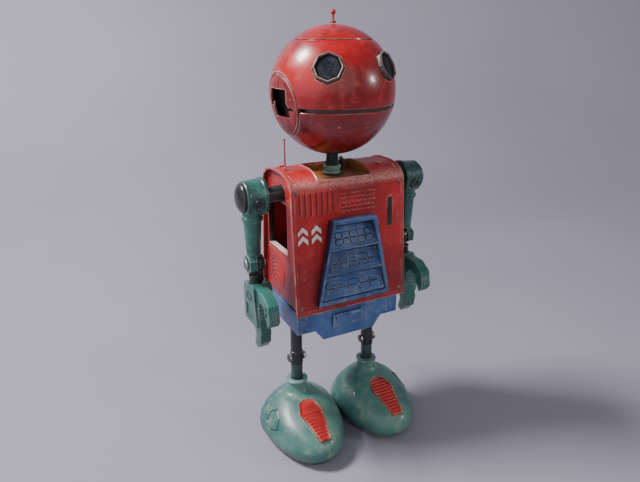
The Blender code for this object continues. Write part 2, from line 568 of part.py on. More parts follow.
def leg(side, name):
    x = side * LEG_X
    slide = pivot(f"leg_slide_{name}", x, LEG_Y, ANKLE_Z)
    steel = {"roughness": 0.35, "metallic": 1.0}
    tube = solid(f"leg_tube_{name}", rod(LEG_R, 28.5, 80, (x, LEG_Y, 0), steps=16), BLACK, slide, metallic=0.4)
    knee_hole = rod(1.2 + GAP, x - 6, x + 6, (0, LEG_Y, KNEE_Z), "x", 12)
    ends = sorted((side * -7.5, side * 24.6))
    y_yoke = -side * 11.4
    arm_y = (y_yoke - 1.1, y_yoke + 1.1)
    bridge = block((x - 2.1, min(arm_y[0], LEG_Y), 77.4), (x + 2.1, max(arm_y[1], LEG_Y), 82.4))
    yoke = block((ends[0], arm_y[0], CRANK_Z - 2.8), (ends[1], arm_y[1], CRANK_Z + 2.8))
    slot_half = CRANK_E + CRANK_PIN_R + 0.5
    slot = block((-slot_half, arm_y[0] - 1, CRANK_Z - CRANK_PIN_R - 0.4),
                 (slot_half, arm_y[1] + 1, CRANK_Z + CRANK_PIN_R + 0.4))
    boolean(tube, "UNION", bridge, yoke, parent=slide)
    boolean(tube, "DIFFERENCE", slot, knee_hole, parent=slide)
    bolt = [(0, x - 5.0), (2.2, x - 5.0), (2.2, x - 3.6), (1.2, x - 3.6), (1.2, x + 3.6), (2.2, x + 3.6),
            (2.2, x + 5.0), (0, x + 5.0)]
    solid(f"knee_bolt_{name}", turned(bolt, (0, LEG_Y, KNEE_Z), "x", 12), STEEL, slide, **steel)
    solid(f"ankle_collar_{name}", ring(5.9, LEG_R + GAP, 32.0, 33.4, (x, LEG_Y, 0), steps=20), GREEN, slide)
    outer = [foot_ring(x, level, 0) for level in FOOT]
    inner = [foot_ring(x, level, TIN) for level in FOOT[:-3]]
    top = FOOT[-1]
    bore = LEG_R + GAP
    neck = [foot_ring(x, (top[0], bore, bore, bore), 0), foot_ring(x, (23.0, bore, bore, bore), 0)]
    shell = solid(f"foot_{name}", loft(outer + neck + inner[::-1]), GREEN, slide)
    sole = foot_ring(x, (0, 17.6, 32.0, 12.6), 0)
    solid(f"sole_{name}", slab(sole, [Vector((p.x, p.y, 1.3)) for p in sole]), BLACK, slide)

    def toe(width, lift):
        half = [(0, -12.2, 25.0), (4.2 + width, -14.0, 24.6), (6.4 + width, -20.5, 22.9),
                (3.0 + width, -37.6, 16.6)]
        corners = half + [(-px, py, pz) for px, py, pz in half[:0:-1]]
        return [Vector((x + px, py, pz + lift)) for px, py, pz in corners]

    boolean(shell, "DIFFERENCE", slab(toe(GAP, -1.6), toe(GAP, 4)), parent=slide)
    solid(f"toe_plate_{name}", slab(toe(0, -1.3), toe(0, 0)), RED, slide)


head()
torso()
chest()
pelvis()
clockwork()
for side_sign, side_name in ((-1, "right"), (1, "left")):
    arm(side_sign, side_name)
    leg(side_sign, side_name)
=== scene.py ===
"""Looks of the tin wind-up robot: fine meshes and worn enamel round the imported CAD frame.

Shapes are worked out in millimetres and turned into metres when their mesh is made.
"""

import json
import math
from math import cos, pi, sin

import bmesh
import bpy
import numpy as np
from mathutils import Euler, Matrix, Vector


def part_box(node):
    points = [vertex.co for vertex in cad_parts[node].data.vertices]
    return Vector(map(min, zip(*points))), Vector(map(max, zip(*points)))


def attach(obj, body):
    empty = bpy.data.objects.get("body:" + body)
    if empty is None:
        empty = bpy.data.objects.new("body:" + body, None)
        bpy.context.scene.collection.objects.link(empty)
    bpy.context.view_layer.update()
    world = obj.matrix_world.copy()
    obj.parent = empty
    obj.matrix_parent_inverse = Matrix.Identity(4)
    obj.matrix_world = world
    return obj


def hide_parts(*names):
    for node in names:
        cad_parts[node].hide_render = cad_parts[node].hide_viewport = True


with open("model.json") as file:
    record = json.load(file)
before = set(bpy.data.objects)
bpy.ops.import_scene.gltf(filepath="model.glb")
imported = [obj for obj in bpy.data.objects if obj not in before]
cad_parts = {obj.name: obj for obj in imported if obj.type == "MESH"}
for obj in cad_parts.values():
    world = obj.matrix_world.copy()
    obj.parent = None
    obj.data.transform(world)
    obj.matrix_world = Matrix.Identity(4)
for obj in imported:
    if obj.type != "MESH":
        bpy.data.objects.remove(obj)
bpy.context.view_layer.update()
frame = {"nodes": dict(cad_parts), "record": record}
MM = 0.001


# ---- places and sizes, from the frame --------------------------------------------------------
def box_mm(node):
    low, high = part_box(node)
    return np.array(low) / MM, np.array(high) / MM


def joint_mm(name):
    for joint in frame["record"]["behaviour"]["joints"]:
        if joint["name"] == name:
            return np.array(joint["pos_m"]) / MM
    raise KeyError(name)


HEAD = Vector(joint_mm("head_turn"))
HEAD_R = box_mm("head_upper")[1][1]
TORSO_LOW, TORSO_HIGH = box_mm("torso_shell")
TORSO_W = TORSO_HIGH[0]
TORSO_Y = (TORSO_LOW[1] + TORSO_HIGH[1]) / 2
BOTTOM_DEPTH = (TORSO_HIGH[1] - TORSO_LOW[1]) / 2
TOP_DEPTH = BOTTOM_DEPTH - 5.2
TORSO_BOTTOM, TORSO_TOP = TORSO_LOW[2], TORSO_HIGH[2]
ARCH_H, FLAT_TOP = 8.2, 3.0
TIN = 0.9
SPRING = TORSO_TOP - ARCH_H

SHOULDER = joint_mm("shoulder_left")
ELBOW = joint_mm("elbow_left")
ARM_X, ARM_Y = SHOULDER[0], SHOULDER[1]
FOOT_LOW, FOOT_HIGH = box_mm("foot_left")
LEG_X = (FOOT_LOW[0] + FOOT_HIGH[0]) / 2
LEG_Y = (box_mm("ankle_collar_left")[0][1] + box_mm("ankle_collar_left")[1][1]) / 2
LEG_R = 3.15
SIDES = ((-1, "right"), (1, "left"))


# ---- mesh tools ------------------------------------------------------------------------------
AXES = {"x": Matrix(((0, 0, 1), (1, 0, 0), (0, 1, 0))),
        "y": Matrix(((1, 0, 0), (0, 0, 1), (0, 1, 0))),
        "z": Matrix.Identity(3)}


def facing(direction):
    """A frame whose third axis points along direction and whose second leans upwards."""
    ahead = Vector(direction).normalized()
    across = ahead.cross(Vector((0, 0, 1))).normalized()
    return Matrix((across, across.cross(ahead), ahead)).transposed()


def mirror_x(side):
    return AXES["x"] @ Matrix.Diagonal((1, 1, side))


def turned(profile, at=(0, 0, 0), axis="z", steps=64, turn=0.0):
    """A closed solid turned from (radius, height) points round an axis through at."""
    bm = bmesh.new()
    basis = AXES[axis] if isinstance(axis, str) else axis
    rings = []
    for radius, height in profile:
        ring = []
        for i in range(1 if radius < 1e-6 else steps):
            a = 2 * pi * i / steps + turn
            ring.append(bm.verts.new(basis @ Vector((radius * cos(a), radius * sin(a), height)) + Vector(at)))
        rings.append(ring)
    closed = profile[0][0] > 1e-6 or profile[-1][0] > 1e-6
    pairs = list(zip(rings, rings[1:])) + ([(rings[-1], rings[0])] if closed else [])
    for low, high in pairs:
        for i in range(steps):
            corners = [low[i % len(low)], low[(i + 1) % len(low)],
                       high[(i + 1) % len(high)], high[i % len(high)]]
            corners = list(dict.fromkeys(corners))
            if len(corners) > 2:
                bm.faces.new(corners)
    return bm


def rod(radius, start, end, at=(0, 0, 0), axis="z", steps=32, turn=0.0, edge=0.0):
    """A round or many-sided bar, with its end edges cut back by edge."""
    corners = [(radius, start), (radius, end)]
    if edge:
        corners = [(radius - edge, start), (radius, start + edge), (radius, end - edge), (radius - edge, end)]
    return turned([(0, start), *corners, (0, end)], at, axis, steps, turn)


def block(low, high):
    bm = bmesh.new()
    middle = (Vector(low) + Vector(high)) / 2
    size = Vector(high) - Vector(low)
    bmesh.ops.create_cube(bm, size=1, matrix=Matrix.Translation(middle) @ Matrix.Diagonal((*size, 1)))
    return bm


def slab(low_outline, high_outline):
    """A solid between two outlines of equally many points."""
    bm = bmesh.new()
    low = [bm.verts.new(p) for p in low_outline]
    high = [bm.verts.new(p) for p in high_outline]
    bm.faces.new(low)
    bm.faces.new(high)
    for i in range(len(low)):
        j = (i + 1) % len(low)
        bm.faces.new((low[i], low[j], high[j], high[i]))
    return bm


def prism(outline, start, end, axis="x"):
    """Extrude (a, b) points; axis x takes (y, z), y takes (x, z) and z takes (x, y)."""
    basis = AXES[axis]
    return slab([basis @ Vector((a, b, start)) for a, b in outline],
                [basis @ Vector((a, b, end)) for a, b in outline])


def loft(loops, caps=True):
    bm = bmesh.new()
    rows = [[bm.verts.new(p) for p in loop] for loop in loops]
    for a, b in zip(rows, rows[1:]):
        for i in range(len(a)):
            j = (i + 1) % len(a)
            bm.faces.new((a[i], a[j], b[j], b[i]))
    if caps:
        bm.faces.new(rows[0])
        bm.faces.new(rows[-1])
    return bm


def arc(radius, start, end, steps, centre=(0.0, 0.0)):
    angles = [math.radians(start + (end - start) * i / steps) for i in range(steps + 1)]
    return [(centre[0] + radius * cos(a), centre[1] + radius * sin(a)) for a in angles]


def smooth_line(points, count, closed=False):
    """Points along a Catmull-Rom curve through the given ones."""
    pts = [Vector(p) for p in points]
    out = []
    spans = len(pts) if closed else len(pts) - 1
    for i in range(spans):
        p0 = pts[i - 1] if closed or i > 0 else pts[0]
        p1 = pts[i]
        p2 = pts[(i + 1) % len(pts)]
        p3 = pts[(i + 2) % len(pts)] if closed or i + 2 < len(pts) else pts[-1]
        for k in range(count):
            t = k / count
            out.append(0.5 * ((2 * p1) + (p2 - p0) * t + (2 * p0 - 5 * p1 + 4 * p2 - p3) * t * t
                              + (3 * p1 - p0 - 3 * p2 + p3) * t ** 3))
    if not closed:
        out.append(pts[-1])
    return out


def clean(obj):
    """Apply every modifier, so the piece is a plain mesh."""
    graph = bpy.context.evaluated_depsgraph_get()
    mesh = bpy.data.meshes.new_from_object(obj.evaluated_get(graph))
    old = obj.data
    obj.modifiers.clear()
    obj.data = mesh
    bpy.data.meshes.remove(old)


def mesh_object(name, bm):
    """An object in metres out of a mesh drawn in millimetres."""
    bmesh.ops.remove_doubles(bm, verts=bm.verts, dist=1e-5)
    bmesh.ops.recalc_face_normals(bm, faces=bm.faces)
    bmesh.ops.scale(bm, vec=(MM, MM, MM), verts=bm.verts)
    mesh = bpy.data.meshes.new(name)
    bm.to_mesh(mesh)
    bm.free()
    obj = bpy.data.objects.new(name, mesh)
    bpy.context.collection.objects.link(obj)
    return obj


def piece(name, bm, material, body, nodes=(), bevel=0.0, angle=35, segments=2, cuts=(), joins=(),
          lining=None):
    """A shown piece with softened edges, its body and CAD nodes, and a second material where lining says."""
    obj = mesh_object(name, bm)
    tools = []
    for operation, shapes in (("UNION", joins), ("DIFFERENCE", cuts)):
        for shape in shapes:
            tools.append(mesh_object("tool", shape))
            change = obj.modifiers.new(operation, "BOOLEAN")
            change.operation = operation
            change.object = tools[-1]
    if bevel:
        soften = obj.modifiers.new("soft edges", "BEVEL")
        soften.width = bevel * MM
        soften.segments = segments
        soften.limit_method = "ANGLE"
        soften.angle_limit = math.radians(30)
        soften.miter_outer = "MITER_ARC"
    if tools or bevel:
        clean(obj)
    for tool in tools:
        bpy.data.objects.remove(tool)
    obj.data.materials.clear()
    obj.data.materials.append(material)
    if lining:
        other, inside = lining
        obj.data.materials.append(other)
        for face in obj.data.polygons:
            face.material_index = int(inside(face.center / MM, face.normal))
    obj.data.shade_smooth()
    obj.data.set_sharp_from_angle(angle=math.radians(angle))
    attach(obj, body)
    if nodes:
        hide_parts(*nodes)
    return obj


def lines(low, high, step, *marks):
    """Grid lines from low to high about step apart, with lines exactly on the marks."""
    stops = sorted({low, high, *[m for m in marks if low < m < high]})
    out = []
    for a, b in zip(stops, stops[1:]):
        count = max(1, round((b - a) / step))
        out += [a + (b - a) * i / count for i in range(count)]
    return np.array(out + [high])


def pressed_sheet(surface, us, vs, height, thickness, keep=None, outwards=1):
    """A sheet of tin over surface(u, v), pressed outwards by height(u, v), as a closed solid."""
    u, v = np.meshgrid(us, vs, indexing="ij")
    base = surface(u, v)
    du = np.gradient(base, axis=0)
    dv = np.gradient(base, axis=1)
    normal = np.cross(du, dv)
    normal *= outwards / np.linalg.norm(normal, axis=2, keepdims=True)
    front = base + normal * height(u, v)[..., None]
    back = base - normal * thickness
    rows, cols = u.shape
    index = np.arange(rows * cols).reshape(rows, cols)
    quads = np.stack([index[:-1, :-1], index[1:, :-1], index[1:, 1:], index[:-1, 1:]], axis=-1)
    if keep is not None:
        middle = keep((u[:-1, :-1] + u[1:, 1:]) / 2, (v[:-1, :-1] + v[1:, 1:]) / 2)
        quads = quads[middle]
    quads = quads.reshape(-1, 4)
    count = rows * cols
    edges = {}
    for a, b in zip(quads, np.roll(quads, -1, axis=1)):
        for p, q in zip(a.tolist(), b.tolist()):
            if (q, p) in edges:
                del edges[(q, p)]
            else:
                edges[(p, q)] = True
    faces = quads.tolist() + (quads[:, ::-1] + count).tolist()
    faces += [[q, p, p + count, q + count] for p, q in edges]
    points = np.concatenate([front.reshape(-1, 3), back.reshape(-1, 3)])
    used = np.unique(np.array([i for f in faces for i in f]))
    order = -np.ones(len(points), dtype=int)
    order[used] = np.arange(len(used))
    bm = bmesh.new()
    verts = [bm.verts.new(p) for p in points[used]]
    for f in faces:
        bm.faces.new([verts[order[i]] for i in f])
    return bm


def ridge(distance, half_width, height):
    """A rounded ridge across a distance from its centre line."""
    t = np.clip(np.abs(distance) / half_width, 0, 1)
    return height * (0.5 + 0.5 * np.cos(pi * t))


def plateau(distance, soft, height):
    """Full height where distance is below zero, falling off over soft."""
    t = np.clip(distance / soft, 0, 1)
    return height * (0.5 + 0.5 * np.cos(pi * t))


def box_distance(a, b, centre, half, corner=0.0):
    """Signed distance to a rectangle with rounded corners."""
    qa = np.abs(a - centre[0]) - half[0] + corner
    qb = np.abs(b - centre[1]) - half[1] + corner
    outside = np.hypot(np.maximum(qa, 0), np.maximum(qb, 0))
    return outside + np.minimum(np.maximum(qa, qb), 0) - corner


# ---- materials -------------------------------------------------------------------------------
class Nodes:
    """A short way to write a node tree."""

    def __init__(self, name):
        self.material = bpy.data.materials.new(name)
        self.material.use_nodes = True
        self.tree = self.material.node_tree
        self.shader = self.tree.nodes["Principled BSDF"]
        self.where = self.tree.nodes.new("ShaderNodeTexCoord").outputs["Object"]

    def add(self, kind, inputs=None, **settings):
        node = self.tree.nodes.new(kind)
        for key, value in settings.items():
            setattr(node, key, value)
        for key, value in (inputs or {}).items():
            if isinstance(value, bpy.types.NodeSocket):
                self.tree.links.new(value, node.inputs[key])
            else:
                node.inputs[key].default_value = value
        return node

    def math(self, operation, a, b=0.0, clamp=False):
        return self.add("ShaderNodeMath", {0: a, 1: b}, operation=operation, use_clamp=clamp).outputs[0]

    def times(self, a, b):
        return self.math("MULTIPLY", a, b)

    def most(self, a, b):
        return self.math("MAXIMUM", a, b, clamp=True)

    def noise(self, scale, detail=4.0, roughness=0.55, offset=0.0, stretch=(1, 1, 1)):
        shift = (offset, offset * 0.7, -offset)
        place = self.add("ShaderNodeMapping", {"Vector": self.where, "Location": shift, "Scale": stretch})
        return self.add("ShaderNodeTexNoise", {"Vector": place.outputs[0], "Scale": scale, "Detail": detail,
                                               "Roughness": roughness}).outputs["Fac"]

    def ramp(self, value, low, high):
        return self.add("ShaderNodeMapRange", {"Value": value, "From Min": low, "From Max": high},
                        interpolation_type="SMOOTHSTEP").outputs[0]

    def mix(self, factor, a, b, blend="MIX"):
        node = self.add("ShaderNodeMix", data_type="RGBA", blend_type=blend)
        for socket, value in ((node.inputs[0], factor), (node.inputs[6], a), (node.inputs[7], b)):
            if isinstance(value, bpy.types.NodeSocket):
                self.tree.links.new(value, socket)
            elif socket.type == "RGBA":
                socket.default_value = (*value, 1)
            else:
                socket.default_value = value
        return node.outputs[2]

    def near(self, axis, middle, reach):
        """1 where the object coordinate is at middle, fading to 0 at reach from it."""
        value = self.add("ShaderNodeSeparateXYZ", {0: self.where}).outputs[axis]
        away = self.math("ABSOLUTE", self.math("SUBTRACT", value, middle))
        return self.ramp(away, reach, 0.0)

    def edges(self, radius, seed):
        """1 on outer edges, broken up by noise, 0 on flats."""
        rounded = self.add("ShaderNodeBevel", {"Radius": radius}, samples=6).outputs[0]
        true = self.add("ShaderNodeNewGeometry").outputs["Normal"]
        alike = self.add("ShaderNodeVectorMath", {0: rounded, 1: true}, operation="DOT_PRODUCT")
        bend = self.math("SUBTRACT", 1.0, alike.outputs["Value"])
        broken = self.noise(420, 5, 0.65, seed)
        bend = self.math("ADD", bend, self.times(self.math("SUBTRACT", broken, 0.5), 0.16))
        return self.ramp(bend, 0.05, 0.16)

    def hollows(self, distance):
        """1 deep in corners, 0 in the open."""
        open_sky = self.add("ShaderNodeAmbientOcclusion", {"Distance": distance}, samples=6).outputs["AO"]
        return self.ramp(open_sky, 0.85, 0.25)

    def bump(self, height, strength, distance):
        sizes = {"Height": height, "Strength": strength, "Distance": distance}
        return self.add("ShaderNodeBump", sizes).outputs[0]

    def finish(self, colour, roughness, normal, metallic=None):
        links = self.tree.links
        links.new(colour, self.shader.inputs["Base Color"])
        links.new(roughness, self.shader.inputs["Roughness"])
        links.new(normal, self.shader.inputs["Normal"])
        if metallic is not None:
            links.new(metallic, self.shader.inputs["Metallic"])
        return self.material


def enamel(name, base, deep, faded, bare, seed, wear=1.0, gloss=0.30, grime_shade_colour=(0.035, 0.022, 0.015), coat=0.25,
           rub_and_highlight_band=None, shade=None):
    """Old gloss enamel: mottled, darkened in its corners by grime and painted shade, rubbed pale along its
    edges, chipped and scratched.

    The band given as (height, reach, y) in metres is a pale mottled stripe along the arch's front, rubbed
    paint and a painted highlight; shade is (low, high, strength) of painted shade that darkens the colour
    towards the bottom.
    """
    n = Nodes(name)
    broad = n.noise(38, 3, 0.5, seed)
    mottle = n.noise(210, 6, 0.62, seed + 3.1)
    fine = n.noise(1300, 4, 0.7, seed + 5.7)
    streak = n.noise(260, 5, 0.6, seed + 8.3, (1.0, 1.0, 0.16))
    colour = n.mix(n.ramp(broad, 0.35, 0.68), base, deep)
    colour = n.mix(n.times(n.ramp(mottle, 0.50, 0.74), 0.55), colour, faded)
    colour = n.mix(n.times(n.ramp(streak, 0.54, 0.76), 0.38), colour, faded)
    colour = n.mix(n.times(n.ramp(fine, 0.45, 0.75), 0.22), colour, deep)
    # painted shade: the colour darkens towards the bottom of the piece
    if shade:
        low, high, strength = shade
        height = n.add("ShaderNodeSeparateXYZ", {0: n.where}).outputs[2]
        colour = n.mix(n.times(n.ramp(height, high, low), strength), colour,
                       tuple(0.30 * c for c in deep))
    # grime and painted shade in the hollows, broken up by noise; it also roughens them
    corner = n.hollows(0.005)
    grime_and_shade = n.times(corner, n.ramp(n.noise(150, 5, 0.6, seed + 2.2), 0.30, 0.60))
    colour = n.mix(n.times(grime_and_shade, 0.75), colour, grime_shade_colour)
    # painted shade: the tightest creases darkened further
    colour = n.mix(n.times(n.hollows(0.0013), 0.85), colour, grime_shade_colour)
    edge = n.edges(0.0007, seed)
    edge = n.times(edge, n.ramp(n.noise(95, 4, 0.65, seed + 1.3), 0.34, 0.60))
    chips = n.times(n.ramp(n.noise(520, 7, 0.72, seed + 9.1), 0.655, 0.69),
                   n.ramp(n.noise(60, 3, 0.6, seed + 4.4), 0.46, 0.60))
    scratch = n.ramp(n.noise(900, 2, 0.5, seed + 6.6, (0.05, 1.0, 0.7)), 0.70, 0.73)
    scratch = n.times(scratch, n.ramp(n.noise(90, 3, 0.6, seed + 7.7), 0.52, 0.62))
    rubbed = n.most(n.times(edge, wear), n.times(chips, 0.85))
    rubbed = n.most(rubbed, n.times(scratch, 0.5))
    # painted highlight with rubbed paint: a pale mottled band along the arch's front edge
    if rub_and_highlight_band:
        high, reach, front = rub_and_highlight_band
        band = n.times(n.near(2, high, reach), n.near(1, front, 0.009))
        patchy = n.ramp(n.noise(1100, 8, 0.8, seed + 12.0), 0.34, 0.70)
        rubbed = n.most(rubbed, n.times(n.times(band, patchy), 0.70))
    colour = n.mix(rubbed, colour, bare)
    rough = n.math("ADD", gloss, n.times(mottle, 0.22))
    rough = n.math("ADD", rough, n.times(grime_and_shade, 0.25))
    rough = n.math("ADD", rough, n.times(rubbed, 0.12), clamp=True)
    height = n.math("SUBTRACT", n.times(fine, 0.35), n.times(rubbed, 0.6))
    height = n.math("ADD", height, n.times(mottle, 0.8))
    n.shader.inputs["Coat Weight"].default_value = coat
    n.shader.inputs["Coat Roughness"].default_value = 0.12
    return n.finish(colour, rough, n.bump(height, 0.35, 0.00012))


def metal(name, base, tarnish, seed, rough=0.3, metallic=1.0):
    n = Nodes(name)
    broad = n.noise(130, 5, 0.6, seed)
    fine = n.noise(900, 4, 0.7, seed + 2.5)
    colour = n.mix(n.ramp(broad, 0.42, 0.66), base, tarnish)
    # painted shade: darker in the hollows
    colour = n.mix(n.times(n.hollows(0.003), 0.7), colour, (0.02, 0.016, 0.013))
    bright = tuple(min(1, c * 1.5 + 0.12) for c in base)
    colour = n.mix(n.times(n.edges(0.0007, seed), 0.8), colour, bright)
    roughness = n.math("ADD", rough, n.times(broad, 0.25), clamp=True)
    n.shader.inputs["Metallic"].default_value = metallic
    return n.finish(colour, roughness, n.bump(fine, 0.25, 0.0001))


def glassy(name, base, seed):
    """Dark glossy lens with a dusty bloom and fine scratches."""
    n = Nodes(name)
    cloud = n.noise(170, 5, 0.65, seed)
    colour = n.mix(n.ramp(cloud, 0.42, 0.66), base, (0.028, 0.034, 0.05))
    scratch = n.ramp(n.noise(900, 3, 0.6, seed + 2, (0.2, 1, 1)), 0.60, 0.66)
    colour = n.mix(n.times(scratch, 0.35), colour, (0.10, 0.11, 0.14))
    rough = n.math("ADD", 0.32, n.times(n.ramp(cloud, 0.45, 0.7), 0.3))
    n.shader.inputs["Specular IOR Level"].default_value = 0.35
    return n.finish(colour, rough, n.bump(cloud, 0.1, 0.0001))


# each enamel: its colour, its darker mottling, its faded patches and the bare edge under it
# the torso red: painted shade darkens it towards the bottom, and a pale band along the arch's front is rubbed
# paint with a painted highlight
RED = enamel("red enamel", (0.52, 0.014, 0.016), (0.27, 0.005, 0.007), (0.60, 0.055, 0.050),
             (0.74, 0.50, 0.44), 1.0, gloss=0.34, coat=0.2, grime_shade_colour=(0.040, 0.006, 0.005),
             rub_and_highlight_band=(0.1465, 0.0042, -0.0165), shade=(0.080, 0.128, 0.45))
# the head red is darkened towards the head's lower part as painted shade
RED_HEAD = enamel("red head enamel", (0.50, 0.010, 0.012), (0.22, 0.004, 0.006), (0.62, 0.070, 0.060),
                  (0.72, 0.44, 0.38), 11.0, gloss=0.21, coat=0.4, grime_shade_colour=(0.040, 0.006, 0.005),
                  shade=(0.156, 0.190, 0.75))
# the ear discs' paler, greyer red is dust with a painted sheen
RED_EAR_DUST_SHEEN = enamel("dusty red with painted sheen", (0.36, 0.022, 0.024), (0.17, 0.006, 0.008), (0.46, 0.150, 0.140),
                 (0.72, 0.46, 0.41), 13.0, gloss=0.36, coat=0.1, grime_shade_colour=(0.035, 0.006, 0.006))
# painted shade: a darker red for the torso's grooves and dents
RED_SHADE = enamel("red painted shade", (0.21, 0.005, 0.007), (0.10, 0.002, 0.004), (0.30, 0.016, 0.016),
                  (0.60, 0.34, 0.30), 17.0, wear=0.3, gloss=0.4, coat=0.1, grime_shade_colour=(0.030, 0.004, 0.004))
RED_TOE = enamel("toe enamel", (0.56, 0.016, 0.014), (0.36, 0.006, 0.007), (0.62, 0.10, 0.055),
                 (0.78, 0.52, 0.42), 15.0, gloss=0.36, grime_shade_colour=(0.06, 0.008, 0.006))
GREEN = enamel("green enamel", (0.030, 0.150, 0.125), (0.010, 0.060, 0.052), (0.095, 0.235, 0.190),
               (0.50, 0.58, 0.50), 21.0, gloss=0.24, grime_shade_colour=(0.006, 0.016, 0.012))
# the foot green is darkened towards the floor as painted shade
FOOT_GREEN = enamel("foot enamel", (0.085, 0.215, 0.175), (0.030, 0.110, 0.110), (0.31, 0.33, 0.215),
                    (0.50, 0.53, 0.45), 25.0, gloss=0.33, grime_shade_colour=(0.010, 0.022, 0.014), coat=0.12,
                    shade=(0.000, 0.012, 0.5))
BLUE = enamel("blue enamel", (0.045, 0.110, 0.29), (0.013, 0.042, 0.15), (0.19, 0.23, 0.31),
              (0.50, 0.56, 0.60), 31.0, gloss=0.30, grime_shade_colour=(0.005, 0.006, 0.016))
FRAME_BLUE = enamel("rubbed blue enamel", (0.065, 0.135, 0.31), (0.022, 0.060, 0.18), (0.27, 0.33, 0.42),
                    (0.56, 0.62, 0.66), 33.0, gloss=0.28, grime_shade_colour=(0.006, 0.008, 0.020))
# painted shade: dark navy for the chest frame's shaded left walls and the louvres' grooves
NAVY_SHADE = enamel("navy painted shade", (0.010, 0.012, 0.055), (0.004, 0.005, 0.026), (0.03, 0.04, 0.11),
              (0.25, 0.27, 0.34), 35.0, wear=0.4, gloss=0.34, grime_shade_colour=(0.003, 0.003, 0.010))
# painted light: pale pink for a lit inner wall seen through the window
LIT_PINK = enamel("pink painted light", (0.50, 0.20, 0.18), (0.36, 0.09, 0.08), (0.60, 0.34, 0.31),
              (0.74, 0.58, 0.52), 38.0, wear=0.6, gloss=0.4)
STENCIL = enamel("stencil white", (0.74, 0.66, 0.62), (0.66, 0.48, 0.44), (0.58, 0.16, 0.13),
                 (0.5, 0.03, 0.03), 41.0, wear=0.5, gloss=0.4)
GOLD = enamel("gold lacquer", (0.36, 0.125, 0.035), (0.15, 0.045, 0.016), (0.42, 0.21, 0.08),
              (0.66, 0.50, 0.32), 51.0, gloss=0.32, grime_shade_colour=(0.035, 0.010, 0.005))
BROWN = enamel("dark band", (0.035, 0.015, 0.010), (0.012, 0.006, 0.005), (0.12, 0.07, 0.04),
               (0.26, 0.18, 0.12), 61.0, wear=0.3, gloss=0.4)
BEZEL = enamel("bezel enamel", (0.20, 0.13, 0.105), (0.07, 0.035, 0.030), (0.42, 0.34, 0.28),
               (0.80, 0.74, 0.66), 71.0, gloss=0.3)
# painted highlight: pale cream for the lit window sill
LIT_SILL_CREAM = enamel("cream painted highlight", (0.66, 0.54, 0.48), (0.50, 0.28, 0.24), (0.72, 0.64, 0.58), (0.85, 0.80, 0.74),
               75.0, wear=0.6, gloss=0.4)
BLACK = enamel("black steel", (0.010, 0.013, 0.013), (0.004, 0.006, 0.006), (0.030, 0.050, 0.045),
               (0.26, 0.30, 0.27), 81.0, wear=0.7, gloss=0.26)
LINE = enamel("inked line", (0.006, 0.026, 0.023), (0.003, 0.012, 0.011), (0.010, 0.034, 0.030),
              (0.02, 0.05, 0.045), 83.0, wear=0.0, gloss=0.4)
# painted shadow: near-black red for insides, wells and reveals that lie in shade
SHADOW = enamel("painted shadow lining", (0.030, 0.004, 0.004), (0.010, 0.002, 0.002), (0.06, 0.010, 0.009),
                (0.10, 0.03, 0.03), 85.0, wear=0.2, gloss=0.5)
PALE_GREEN = enamel("pale green enamel", (0.13, 0.28, 0.25), (0.06, 0.16, 0.14), (0.26, 0.40, 0.36),
                    (0.55, 0.62, 0.56), 87.0, gloss=0.28)
DARK_TEAL = enamel("dark teal enamel", (0.018, 0.060, 0.056), (0.006, 0.018, 0.018), (0.07, 0.16, 0.15),
                   (0.35, 0.45, 0.42), 89.0, gloss=0.22, wear=0.7)
STEEL = metal("bright steel", (0.62, 0.63, 0.62), (0.24, 0.24, 0.23), 91.0)
BRASS = metal("old brass", (0.62, 0.43, 0.17), (0.28, 0.17, 0.07), 95.0)
LENS = glassy("eye lens", (0.004, 0.007, 0.014), 99.0)
# the paints of each slot, the plainest first
PAINTS = {"red_paint": (RED, RED_HEAD, RED_EAR_DUST_SHEEN, RED_SHADE, RED_TOE, LIT_PINK, SHADOW, LIT_SILL_CREAM),
          "green_paint": (GREEN, FOOT_GREEN, PALE_GREEN, DARK_TEAL, LINE),
          "blue_paint": (BLUE, FRAME_BLUE, NAVY_SHADE),
          "pale_enamel": (BEZEL, STENCIL),
          "gold_lacquer": (GOLD,),
          "brown_paint": (BROWN,),
          "black_steel": (BLACK,),
          "bright_steel": (STEEL,),
          "brass": (BRASS,),
          "lens": (LENS,)}


# ---- head ------------------------------------------------------------------------------------
CAP_R, BAND_Z, BAND_HALF = 18.6, 180.0, 0.8
EAR_R, EYE_R, LENS_R = 14.3, 6.8, 5.5
SEAM = 0.35
EAR_TILT = (0.985, -0.02, -0.174)
EYE_DIR = (0.490, -0.768, 0.412)


def ball(radius, low, high, step=2.5):
    """Profile on a sphere between two heights from its centre."""
    a, b = (math.degrees(math.asin(max(-0.99, min(0.99, h / radius)))) for h in (low, high))
    return arc(radius, a, b, max(2, int(abs(b - a) / step)))


